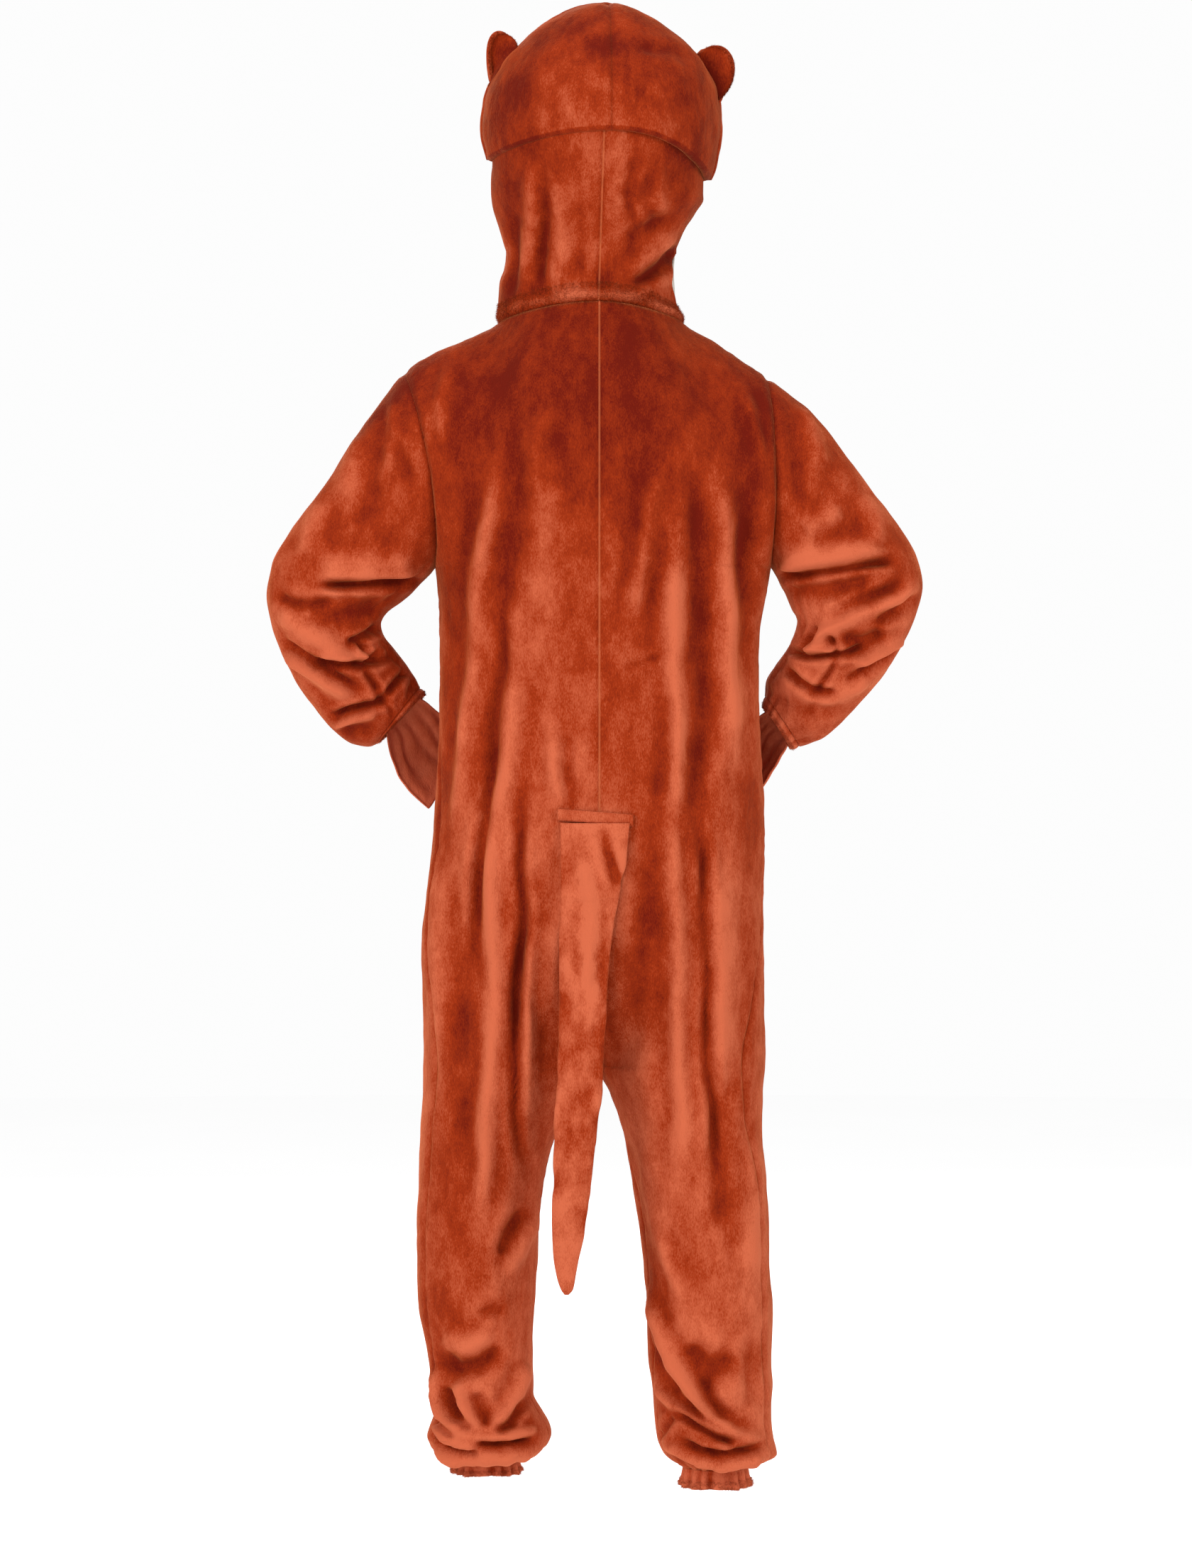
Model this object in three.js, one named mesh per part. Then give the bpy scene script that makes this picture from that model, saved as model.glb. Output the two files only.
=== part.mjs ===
// Otter onesie in its worn form: four long plush panels from shoulder to ankle, bent sleeves with
// paw flaps, gathered wrists and ankles, a hood with round ears, and a flat tail.
// Millimetres, +Z up. The back of the garment faces +Y and the wearer's left is +X.
// The origin is the middle of the neckline, where the garment rests on the shoulders.
import * as THREE from "three";

// Cloth
const CLOTH = 2; // plush and its pile
const SEAM_GAP = 0.3; // between the edges of two pieces
const EAR_THICKNESS = 5; // two plush layers
const STRIP_THICKNESS = 2;

// Heights
const UNDERARM_Z = -307;
const SEAT_Z = -700; // where the seat begins to part into two legs
const CROTCH_Z = -901;
const LEG_START_SHARE = 0.45; // from here to the centre the seat rounds in to the crotch
const NECK_SIDE_Z = -13;
const NECK_RISE_BACK = 24;
const NECK_DROP_FRONT = 35;

// Section shapes: powers of sine and cosine, 1 is an ellipse and less is squarer
const BODY_POWER = 0.8;
const LEG_POWER = 0.9;
const SLEEVE_POWER = 0.93;

// Grid counts
const YOKE_ROWS = 9;
const BACK_COLUMNS = 12;
const FRONT_COLUMNS = 9;
const SLEEVE_AROUND = 2 * YOKE_ROWS; // its points meet those of the armhole
const SLEEVE_ROWS = 24;
const HEM_WAVES = 16;
const CUFF_WAVES = 12;
const POINTS_PER_WAVE = 3;
const HEM_WAVE_HEIGHT = 2.4;
const CUFF_WAVE_HEIGHT = 1.6;

const PLUSH = { color: 0xa8431f, roughness: 0.92, metalness: 0 };
const CREAM = { color: 0xd9d2c6, roughness: 0.92, metalness: 0 };

// Half widths and depths of the body from underarm to crotch
const BODY_SECTIONS = [
  { z: -307, left: 196, right: 205, back: 122, front: 118 },
  { z: -391, left: 190, right: 192, back: 116, front: 123 },
  { z: -476, left: 190, right: 190, back: 112, front: 126 },
  { z: -560, left: 193, right: 194, back: 117, front: 126 },
  { z: -640, left: 199, right: 197, back: 122, front: 122 },
  { z: -700, left: 207, right: 196, back: 122, front: 118 },
  { z: -782, left: 215, right: 196, back: 118, front: 114 },
  { z: -850, left: 212, right: 198, back: 112, front: 110 },
  { z: -901, left: 209, right: 199, back: 106, front: 107 },
];

// Leg sections: distances of the outer and inner edges from the centre line, and depths
const LEG_SECTIONS = {
  left: [
    { z: -700, outer: 207, inner: 0, back: 114, front: 110 },
    { z: -901, outer: 209, inner: 0, back: 99, front: 100 },
    { z: -935, outer: 209, inner: 20, back: 97, front: 98 },
    { z: -986, outer: 213, inner: 50, back: 93, front: 95 },
    { z: -1037, outer: 215, inner: 63, back: 90, front: 93 },
    { z: -1088, outer: 218, inner: 70, back: 87, front: 88 },
    { z: -1139, outer: 218, inner: 73, back: 85, front: 84 },
    { z: -1190, outer: 216, inner: 76, back: 83, front: 81 },
    { z: -1241, outer: 208, inner: 79, back: 80, front: 78 },
    { z: -1292, outer: 202, inner: 78, back: 78, front: 76 },
    { z: -1317, outer: 200, inner: 66, back: 80, front: 77 },
    { z: -1341, outer: 207, inner: 56, back: 82, front: 79 },
    { z: -1356, outer: 203, inner: 62, back: 77, front: 74 },
    { z: -1367, outer: 187, inner: 80, back: 63, front: 62 },
    { z: -1372, outer: 173, inner: 97, back: 49, front: 49 },
    { z: -1378, outer: 171, inner: 99, back: 47, front: 47 },
    { z: -1394, outer: 178, inner: 92, back: 53, front: 53 },
  ],
  right: [
    { z: -700, outer: 196, inner: 0, back: 114, front: 110 },
    { z: -901, outer: 199, inner: 0, back: 99, front: 100 },
    { z: -935, outer: 197, inner: 14, back: 97, front: 98 },
    { z: -986, outer: 196, inner: 29, back: 93, front: 95 },
    { z: -1037, outer: 200, inner: 38, back: 90, front: 93 },
    { z: -1088, outer: 201, inner: 46, back: 87, front: 88 },
    { z: -1139, outer: 202, inner: 52, back: 85, front: 84 },
    { z: -1190, outer: 205, inner: 56, back: 83, front: 81 },
    { z: -1241, outer: 205, inner: 57, back: 80, front: 78 },
    { z: -1292, outer: 207, inner: 64, back: 78, front: 76 },
    { z: -1322, outer: 206, inner: 67, back: 80, front: 77 },
    { z: -1347, outer: 209, inner: 70, back: 82, front: 79 },
    { z: -1364, outer: 213, inner: 77, back: 77, front: 74 },
    { z: -1375, outer: 197, inner: 88, back: 63, front: 62 },
    { z: -1381, outer: 178, inner: 101, back: 49, front: 49 },
    { z: -1387, outer: 176, inner: 103, back: 47, front: 47 },
    { z: -1405, outer: 184, inner: 95, back: 53, front: 53 },
  ],
};
const HEM_TOP_ROW = { left: -1372, right: -1381 };
const HEM_BOTTOM_ROW = { left: -1394, right: -1405 };

// How far the side seams and the inseams turn to the back, as a share of a half section
const SEAM_TURNS = {
  left: [
    { z: -307, side: 0, inseam: 0 },
    { z: -450, side: 0.03, inseam: 0 },
    { z: -560, side: 0.13, inseam: 0 },
    { z: -700, side: 0.2, inseam: 0 },
    { z: -901, side: 0.18, inseam: 0 },
    { z: -1100, side: 0.17, inseam: 0.09 },
    { z: -1410, side: 0.17, inseam: 0.09 },
  ],
  right: [
    { z: -307, side: 0, inseam: 0 },
    { z: -560, side: 0.03, inseam: 0 },
    { z: -700, side: 0.07, inseam: 0 },
    { z: -830, side: 0.2, inseam: 0 },
    { z: -901, side: 0.25, inseam: 0 },
    { z: -1100, side: 0.18, inseam: 0.09 },
    { z: -1410, side: 0.17, inseam: 0.09 },
  ],
};

// The centre back and the centre front above the underarms
const CENTRE_BACK = [
  { z: 11, y: 75 },
  { z: -30, y: 93 },
  { z: -90, y: 113 },
  { z: -180, y: 123 },
  { z: -307, y: 122 },
];
const CENTRE_FRONT = [
  { z: -48, y: -80 },
  { z: -100, y: -96 },
  { z: -180, y: -113 },
  { z: -240, y: -118 },
  { z: -307, y: -118 },
];
const SHOULDER_BOW = 3;
const NECK_SHARE = 0.5; // share of a panel's top edge that is neckline

// Hood and neck: half widths and depths, from the shoulders up to the crown seam
const NECK_SECTIONS = [
  { z: -48, left: 124, right: 108, back: 82, front: 80 },
  { z: -13, left: 120, right: 100, back: 77, front: 78 },
  { z: 11, left: 120, right: 91, back: 75, front: 80 },
  { z: 34, left: 117, right: 90, back: 76, front: 82 },
  { z: 51, left: 111, right: 89, back: 77, front: 84 },
  { z: 68, left: 110, right: 89, back: 80, front: 88 },
  { z: 85, left: 115, right: 95, back: 85, front: 92 },
  { z: 102, left: 120, right: 104, back: 92, front: 96 },
  { z: 119, left: 125, right: 116, back: 100, front: 100 },
  { z: 136, left: 129, right: 125, back: 107, front: 105 },
  { z: 161, left: 130, right: 125, back: 114, front: 110 },
  { z: 185, left: 129, right: 132, back: 119, front: 116 },
  { z: 216, left: 136, right: 136, back: 124, front: 121 },
];
// Front edges of the neck pieces, in degrees forward (-) or back (+) of the side
const NECK_FRONT_EDGES = [
  { z: -48, left: -8, right: -8 },
  { z: -13, left: -7, right: -4 },
  { z: 9, left: -5, right: 4 },
  { z: 37, left: -4, right: 20 },
  { z: 60, left: -7, right: 8 },
  { z: 80, left: -16, right: -14 },
  { z: 102, left: -34, right: -34 },
  { z: 120, left: -46, right: -46 },
  { z: 150, left: -46, right: -46 },
  { z: 216, left: -42, right: -42 },
];
const CHIN_CORNER_Z = 120;
const CHIN_Z = 70;
const THROAT_ROWS = 7;
const THROAT_COLUMNS = 10;
const NECK_COLUMNS = 9;
const NECK_UPPER_ROWS = [0, 0.35, 0.7]; // shares of the way from the crown to the chin's corners
const NECK_LIFT = 0.6; // extra room between the hood's lower edge and the shoulders
const NECK_DROP = 0.9; // and between the neck pieces and the crown
const NECK_SEAM_SHIFT = { top: 6, bottom: -1 }; // towards the wearer's right

// Crown: a dome of elevation angles, half widths to each side
const CROWN = { x: -2, z: 221, rise: 149, back: 128, front: 125 };
const CROWN_OUTLINE = [
  { angle: -30, left: 128, right: 124 },
  { angle: -14, left: 135, right: 138 },
  { angle: 0, left: 142, right: 142 },
  { angle: 15, left: 137, right: 140 },
  { angle: 30, left: 118, right: 125 },
  { angle: 40, left: 99, right: 106 },
  { angle: 50, left: 81, right: 84 },
  { angle: 60, left: 60, right: 61 },
  { angle: 70, left: 40, right: 40 },
  { angle: 80, left: 20, right: 20 },
  { angle: 90, left: 0, right: 0 },
];
const CROWN_SEAM_BACK_Z = 215;
const CROWN_SEAM_SIDE_Z = { left: 185, right: 161.5 };
const CROWN_SEAM_SHIFT = -13; // the crown's centre seam runs to the wearer's right
const CROWN_SHIFT_POWER = 0.3; // how soon the seam's shift dies out towards the top
const CROWN_TIP_ROOM = 0.75; // seam gaps between the crown's middle and its tip
const CROWN_ROWS = 8;
const CROWN_COLUMNS = 8;
const BROW_ROWS = 5;
const BROW_COLUMNS = 16;
const BROW_TURN_SIDE = 42; // degrees from the crown seam to the edge of the face opening
const BROW_TURN_TOP = 60;

// Ears: elevation angles of the base on the crown, height, lean to the back, room at the base, and
// skew, which under 1 moves the peak towards the upper end
const EARS = {
  left: { topLift: 39, lowLift: 19, height: 35, lean: -6, gap: 0.5, skew: 0.5 },
  right: { topLift: 35, lowLift: 11, height: 33, lean: 4, gap: 0.6, skew: 0.7 },
};
const EAR_FAN = { top: 29, low: -15 }; // degrees that a lobe's two ends turn up
const EAR_ROWS = 5;
const EAR_COLUMNS = 8;
const EAR_TURN = 6; // degrees behind the crown's front seam
const EAR_CUP = 2.5;
const EAR_ROUNDNESS = 0.85; // power of the sine over the ear's width
const EAR_EDGE_HEIGHT = 0.12;
const EAR_TOP_ROOM = 2; // more room where the lobe leans over the crown

// Sleeves: the top or outer edge and the lower or inner edge of each section, its middle and depth
const SLEEVE_SECTIONS = {
  left: [
    { outerX: 234.6, outerZ: -70.6, innerX: 196.2, innerZ: -307, middle: 0, depth: 78 },
    { outerX: 273, outerZ: -119, innerX: 213, innerZ: -325, middle: 2, depth: 76 },
    { outerX: 305, outerZ: -170, innerX: 227, innerZ: -338, middle: 4, depth: 73 },
    { outerX: 339, outerZ: -221, innerX: 238, innerZ: -347, middle: 6, depth: 70 },
    { outerX: 368, outerZ: -263, innerX: 247, innerZ: -354, middle: 8, depth: 67 },
    { outerX: 391, outerZ: -305, innerX: 254, innerZ: -360, middle: 9, depth: 64 },
    { outerX: 397, outerZ: -341, innerX: 259, innerZ: -367, middle: 9, depth: 62 },
    { outerX: 390, outerZ: -379, innerX: 261, innerZ: -374, middle: 6, depth: 60 },
    { outerX: 375, outerZ: -417, innerX: 260, innerZ: -382, middle: 2, depth: 58 },
    { outerX: 357, outerZ: -451, innerX: 257, innerZ: -390, middle: -4, depth: 56 },
    { outerX: 337, outerZ: -480, innerX: 251, innerZ: -398, middle: -10, depth: 54 },
    { outerX: 317, outerZ: -503, innerX: 243, innerZ: -409, middle: -16, depth: 51 },
    { outerX: 296, outerZ: -517, innerX: 232, innerZ: -424, middle: -21, depth: 48 },
    { outerX: 279, outerZ: -519, innerX: 222, innerZ: -438, middle: -25, depth: 44 },
    { outerX: 269, outerZ: -517, innerX: 216, innerZ: -449, middle: -27, depth: 40 },
    { outerX: 260, outerZ: -510, innerX: 210, innerZ: -458, middle: -29, depth: 39 },
  ],
  right: [
    { outerX: 202.3, outerZ: -76.5, innerX: 205.2, innerZ: -307, middle: 0, depth: 78 },
    { outerX: 252, outerZ: -119, innerX: 214, innerZ: -321, middle: 2, depth: 76 },
    { outerX: 291, outerZ: -170, innerX: 222, innerZ: -336, middle: 4, depth: 73 },
    { outerX: 329, outerZ: -221, innerX: 228, innerZ: -349, middle: 6, depth: 70 },
    { outerX: 357, outerZ: -257, innerX: 232, innerZ: -358, middle: 8, depth: 67 },
    { outerX: 378, outerZ: -293, innerX: 236, innerZ: -364, middle: 9, depth: 64 },
    { outerX: 387, outerZ: -327, innerX: 238, innerZ: -371, middle: 9, depth: 62 },
    { outerX: 379, outerZ: -363, innerX: 237, innerZ: -378, middle: 6, depth: 60 },
    { outerX: 366, outerZ: -395, innerX: 234, innerZ: -386, middle: 2, depth: 58 },
    { outerX: 349, outerZ: -425, innerX: 230, innerZ: -395, middle: -4, depth: 56 },
    { outerX: 328, outerZ: -451, innerX: 224, innerZ: -405, middle: -10, depth: 54 },
    { outerX: 306, outerZ: -477, innerX: 216, innerZ: -416, middle: -17, depth: 51 },
    { outerX: 284, outerZ: -497, innerX: 208, innerZ: -428, middle: -25, depth: 48 },
    { outerX: 262, outerZ: -513, innerX: 202, innerZ: -442, middle: -33, depth: 44 },
    { outerX: 241, outerZ: -519, innerX: 200, innerZ: -459, middle: -38, depth: 38 },
    { outerX: 229, outerZ: -521, innerX: 198, innerZ: -474, middle: -41, depth: 37 },
  ],
};
const SLEEVE_FACING = -1; // a sleeve's columns run the other way round than a body panel's
const SLEEVE_END = 14; // the section where the sleeve meets its cuff
const CUFF_END = 15;
const ARMHOLE_BOW = { left: 13, right: -7 };
const ARMHOLE_FRONT_BOW = 8;
const ARMHOLE_FLARE = 0.5;

// Paw flaps: the far corners, seen from behind, and the bow of the lower edge
const PAW_FLAPS = {
  left: { lowX: 208, lowZ: -595, lowY: -66, highX: 166, highZ: -500, highY: -112, bow: 14 },
  right: { lowX: 192, lowZ: -578, lowY: -74, highX: 158, highZ: -506, highY: -118, bow: 2 },
};
const PAW_START = 22; // degrees of the cuff left free at each end of the flap
const PAW_GAP = 0.5; // from the cuff's edge
const PAW_BULGE = 12;
const PAW_FORWARD = 0.6; // share of the bulge that also goes forward
const PAW_ROWS = 6;
const PAW_COLUMNS = 7;

// Tail: edges seen from behind (+ is the wearer's left) and its thickness
const TAIL_SECTIONS = [
  { z: -611, left: 46, right: -36, thick: 5 },
  { z: -646, left: 47, right: -33, thick: 11 },
  { z: -685, left: 47, right: -27, thick: 16 },
  { z: -741, left: 48, right: -17, thick: 19 },
  { z: -826, left: 49, right: -10, thick: 21 },
  { z: -901, left: 50, right: -6, thick: 22 },
  { z: -985, left: 54, right: 3, thick: 21 },
  { z: -1034, left: 55, right: 9, thick: 20 },
  { z: -1084, left: 56, right: 15, thick: 18 },
  { z: -1112, left: 55, right: 21, thick: 16 },
  { z: -1139, left: 51, right: 27, thick: 13 },
  { z: -1158, left: 45, right: 31, thick: 8 },
  { z: -1164, left: 41, right: 36, thick: 4 },
];
const SIDE_SHARE = 0.3; // the search for a place on the back starts here
const HALVINGS = 30;
const TAIL_ROWS = 18;
const TAIL_AROUND = 14;
const TAIL_POWER = { wide: 0.9, thick: 0.8 };
const TAIL_TIP_START = 0.8; // the rows crowd together towards the tip from here
const TAIL_TIP_CROWDING = 1.5;
const TAIL_BACK_OFF = 0.4; // from the seat
const TAIL_HANG_Y = 122.6; // the flat face of the tail where it hangs free
const CASING_ROWS = 2;
const CASING_COLUMNS = 8;
const CASING = { left: 48, right: -39, topLeft: -595, topRight: -602, height: 9, thick: 3 };

// The front strip: share of the first column that it covers, where it starts and ends
const PLACKET = { share: 0.42, start: 0.25, bottomZ: -610, lift: 0.8 };

// Folds: soft ridges (+) and troughs (-) along a line in the plane seen from behind
const FOLDS = [
  { face: "back", x1: 124, z1: -195, x2: 156, z2: -540, width: 17, height: 8 },
  { face: "back", x1: 97, z1: -210, x2: 134, z2: -760, width: 16, height: -7 },
  { face: "back", x1: 121, z1: -700, x2: 118, z2: -1190, width: 16, height: 8 },
  { face: "back", x1: 92, z1: -740, x2: 98, z2: -1150, width: 15, height: -9 },
  { face: "back", x1: 178, z1: -600, x2: 182, z2: -1000, width: 18, height: 5 },
  { face: "back", x1: -69, z1: -190, x2: -56, z2: -400, width: 17, height: 5 },
  { face: "back", x1: -92, z1: -430, x2: -97, z2: -930, width: 16, height: 8 },
  { face: "back", x1: -122, z1: -350, x2: -123, z2: -930, width: 14, height: -8 },
  { face: "back", x1: -147, z1: -380, x2: -150, z2: -900, width: 15, height: 6 },
  { face: "back", x1: -60, z1: -760, x2: -90, z2: -1120, width: 16, height: -5 },
  { face: "back", x1: 196, z1: -1270, x2: 120, z2: -1322, width: 12, height: -7 },
  { face: "back", x1: 108, z1: -1240, x2: 150, z2: -1292, width: 12, height: 5 },
  { face: "back", x1: -68, z1: -1270, x2: -200, z2: -1330, width: 12, height: 6 },
  { face: "back", x1: -90, z1: -1296, x2: -190, z2: -1352, width: 10, height: -7 },
  { face: "front", x1: 120, z1: -190, x2: 140, z2: -620, width: 18, height: 7 },
  { face: "front", x1: 92, z1: -230, x2: 104, z2: -700, width: 16, height: -6 },
  { face: "front", x1: -118, z1: -200, x2: -138, z2: -660, width: 18, height: 7 },
  { face: "front", x1: -88, z1: -240, x2: -98, z2: -720, width: 16, height: -6 },
  { face: "front", x1: 60, z1: -420, x2: 66, z2: -880, width: 16, height: 5 },
  { face: "front", x1: -58, z1: -460, x2: -70, z2: -900, width: 16, height: 6 },
  { face: "front", x1: 120, z1: -760, x2: 132, z2: -1180, width: 17, height: 6 },
  { face: "front", x1: -116, z1: -740, x2: -128, z2: -1160, width: 17, height: 6 },
  { face: "front", x1: 80, z1: -1230, x2: 196, z2: -1318, width: 13, height: -7 },
  { face: "front", x1: -72, z1: -1250, x2: -198, z2: -1322, width: 13, height: -7 },
];
const SLEEVE_FOLDS = [
  { side: "left", x1: 196, z1: -320, x2: 352, z2: -330, width: 13, height: -11 },
  { side: "right", x1: 200, z1: -318, x2: 352, z2: -302, width: 13, height: -11 },
  { side: "left", x1: 386, z1: -368, x2: 262, z2: -372, width: 9, height: -6 },
  { side: "left", x1: 378, z1: -402, x2: 262, z2: -398, width: 9, height: 6 },
  { side: "left", x1: 366, z1: -424, x2: 268, z2: -426, width: 9, height: -6 },
  { side: "left", x1: 345, z1: -460, x2: 250, z2: -442, width: 9, height: 5 },
  { side: "left", x1: 322, z1: -490, x2: 238, z2: -456, width: 9, height: -5 },
  { side: "left", x1: 262, z1: -110, x2: 292, z2: -250, width: 14, height: 5 },
  { side: "left", x1: 236, z1: -130, x2: 252, z2: -270, width: 13, height: -4 },
  { side: "right", x1: 380, z1: -350, x2: 250, z2: -366, width: 9, height: -6 },
  { side: "right", x1: 370, z1: -380, x2: 258, z2: -390, width: 9, height: 6 },
  { side: "right", x1: 354, z1: -410, x2: 244, z2: -412, width: 9, height: -6 },
  { side: "right", x1: 330, z1: -445, x2: 230, z2: -436, width: 9, height: 5 },
  { side: "right", x1: 300, z1: -478, x2: 220, z2: -458, width: 9, height: -5 },
  { side: "right", x1: 240, z1: -120, x2: 284, z2: -250, width: 14, height: 5 },
];

// How folds fade: shares of their own length, and distances from the seams that they don't cross
const FOLD_FADE = 0.22;
const FOLD_SIDE_FADE = 40;
const FOLD_HEM_FADE = 50;
const YOKE_FADE = { down: 0.25, across: 0.2 };
const SLEEVE_FADE = { top: 1.5, end: 2, depth: 0.6 }; // stations, and share of the depth
const BOW_STATIONS = 3; // the armhole's bow has died out here

const MEETING_PASSES = 12; // rounds of refining a height and a turn that depend on each other

const UP = new THREE.Vector3(0, 0, 1);
const rad = THREE.MathUtils.degToRad;
const mix = THREE.MathUtils.lerp;
const point = (x, y, z) => new THREE.Vector3(x, y, z);
const smooth = (t) => THREE.MathUtils.smoothstep(t, 0, 1);
const signedPower = (value, power) => Math.sign(value) * Math.abs(value) ** power;
const steps = (count) => Array.from({ length: count + 1 }, (_, i) => i / count);

// A smooth curve through one column of a table, without overshoot
function curveOf(table, key, name) {
  const rows = [...table].sort((a, b) => a[key] - b[key]);
  const at = rows.map((row) => row[key]);
  const value = rows.map((row) => row[name]);
  const last = rows.length - 1;
  const pace = at.slice(1).map((end, i) => (value[i + 1] - value[i]) / (end - at[i]));
  const slope = value.map((_, i) => {
    if (i === 0) return pace[0];
    if (i === last) return pace[last - 1];
    if (pace[i - 1] * pace[i] <= 0) return 0;
    return (2 * pace[i - 1] * pace[i]) / (pace[i - 1] + pace[i]);
  });
  return (x) => {
    if (x <= at[0]) return value[0];
    if (x >= at[last]) return value[last];
    let i = 0;
    while (x > at[i + 1]) i += 1;
    const span = at[i + 1] - at[i];
    const t = (x - at[i]) / span;
    const t2 = t * t;
    const t3 = t2 * t;
    return (
      (2 * t3 - 3 * t2 + 1) * value[i] +
      (t3 - 2 * t2 + t) * span * slope[i] +
      (3 * t2 - 2 * t3) * value[i + 1] +
      (t3 - t2) * span * slope[i + 1]
    );
  };
}

// One half of the garment. Its points are worked out with x growing outwards and mirrored after.
function makeSide(name, sign) {
  const sleeve = SLEEVE_SECTIONS[name].map((row, station) => ({ ...row, station }));
  const sleeveColumns = ["outerX", "outerZ", "innerX", "innerZ", "middle", "depth"];
  const legColumns = ["outer", "inner", "back", "front"];
  const columns = (table, key, names) =>
    Object.fromEntries(names.map((column) => [column, curveOf(table, key, column)]));
  return {
    name,
    sign,
    width: curveOf(BODY_SECTIONS, "z", name),
    leg: columns(LEG_SECTIONS[name], "z", legColumns),
    turn: columns(SEAM_TURNS[name], "z", ["side", "inseam"]),
    neckWidth: curveOf(NECK_SECTIONS, "z", name),
    neckEdge: curveOf(NECK_FRONT_EDGES, "z", name),
    crownWidth: curveOf(CROWN_OUTLINE, "angle", name),
    sleeve: columns(sleeve, "station", sleeveColumns),
    hemTop: HEM_TOP_ROW[name],
    hemBottom: HEM_BOTTOM_ROW[name],
  };
}
const SIDES = [makeSide("left", 1), makeSide("right", -1)];
const bodyBack = curveOf(BODY_SECTIONS, "z", "back");
const bodyFront = curveOf(BODY_SECTIONS, "z", "front");
const centreBack = curveOf(CENTRE_BACK, "z", "y");
const centreFront = curveOf(CENTRE_FRONT, "z", "y");
const neckBack = curveOf(NECK_SECTIONS, "z", "back");
const neckFront = curveOf(NECK_SECTIONS, "z", "front");

// Height of the soft folds at a point of one face
function foldHeight(folds, x, z) {
  let height = 0;
  for (const fold of folds) {
    const alongX = fold.x2 - fold.x1;
    const alongZ = fold.z2 - fold.z1;
    const length = Math.hypot(alongX, alongZ);
    const along = ((x - fold.x1) * alongX + (z - fold.z1) * alongZ) / length ** 2;
    const across = ((x - fold.x1) * alongZ - (z - fold.z1) * alongX) / length;
    const fade = smooth(along / FOLD_FADE) * smooth((1 - along) / FOLD_FADE);
    height += fold.height * fade * Math.exp(-((across / fold.width) ** 2));
  }
  return height;
}

// The body's section at one height: share 1 is the centre back or the inseam, 0 the side and
// -1 the centre front. Below the seat each half closes into a leg.
function bodyPoint(side, share, z) {
  const quarter = ((1 - Math.abs(share)) * Math.PI) / 2;
  const trunkX = side.width(z) * signedPower(Math.sin(quarter), BODY_POWER);
  const depth = share >= 0 ? bodyBack(z) : -bodyFront(z);
  const trunkY = depth * signedPower(Math.cos(quarter), BODY_POWER);
  const turn = Math.PI * share;
  const outer = side.leg.outer(z);
  const inner = side.leg.inner(z);
  const legX = (outer + inner) / 2 + ((outer - inner) / 2) * signedPower(Math.cos(turn), LEG_POWER);
  const sine = Math.sin(turn);
  const legDepth = sine >= 0 ? side.leg.back(z) : side.leg.front(z);
  const legY = legDepth * signedPower(sine, LEG_POWER);
  const fall = THREE.MathUtils.clamp((SEAT_Z - z) / (SEAT_Z - CROTCH_Z), 0, 1);
  const round = 1 - Math.sqrt(1 - fall * fall);
  const inward = smooth((Math.abs(share) - LEG_START_SHARE) / (1 - LEG_START_SHARE));
  const parted = mix(smooth(fall), round, inward);
  return point(mix(trunkX, legX, parted), mix(trunkY, legY, parted), z);
}

function bodyNormal(side, share, z) {
  const across = bodyPoint(side, share - 0.01, z).sub(bodyPoint(side, share + 0.01, z));
  const down = bodyPoint(side, share, z - 1).sub(bodyPoint(side, share, z + 1));
  return across.cross(down).normalize();
}

// Sleeve section at a station: 0 degrees is the outer edge, 90 the back, 180 the underarm seam
function sleevePoint(side, station, degrees) {
  const { outerX, outerZ, innerX, innerZ, middle, depth } = side.sleeve;
  const cosine = signedPower(Math.cos(rad(degrees)), SLEEVE_POWER);
  const sine = Math.sin(rad(degrees));
  const share = (1 - cosine) / 2;
  const bow = ARMHOLE_BOW[side.name] + (sine < 0 ? ARMHOLE_FRONT_BOW : 0);
  const bowed = bow * sine * sine * (1 - smooth(station / BOW_STATIONS));
  const x = mix(outerX(station), innerX(station), share) - bowed;
  const z = mix(outerZ(station), innerZ(station), share);
  return point(x, middle(station) + depth(station) * signedPower(sine, SLEEVE_POWER), z);
}

// Direction along the sleeve at a station, square to its section
function sleeveAxis(side, station) {
  const { outerX, outerZ, innerX, innerZ } = side.sleeve;
  const across = point(innerX(station) - outerX(station), 0, innerZ(station) - outerZ(station));
  return point(-across.z, 0, across.x).normalize();
}

// Keeps a normal in the plane that is square to an axis
const flattened = (normal, axis) =>
  normal.clone().addScaledVector(axis, -normal.dot(axis)).normalize();

function armholeNormal(degrees) {
  return point(ARMHOLE_FLARE, Math.sin(rad(degrees)), Math.cos(rad(degrees))).normalize();
}

// The neckline: 90 degrees is the centre back, 0 the side and -90 the centre front
function neckPoint(side, degrees, z) {
  const sine = Math.sin(rad(degrees));
  const y = sine >= 0 ? neckBack(z) * sine : neckFront(z) * sine;
  return point(side.neckWidth(z) * Math.cos(rad(degrees)), y, z);
}

function neckNormal(side, degrees, z) {
  const across = neckPoint(side, degrees - 1, z).sub(neckPoint(side, degrees + 1, z));
  const down = neckPoint(side, degrees, z - 1).sub(neckPoint(side, degrees, z + 1));
  return across.cross(down).normalize();
}

function necklineZ(degrees) {
  const sine = Math.sin(rad(degrees));
  return NECK_SIDE_Z + (sine > 0 ? NECK_RISE_BACK : -NECK_DROP_FRONT) * sine * sine;
}

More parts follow.
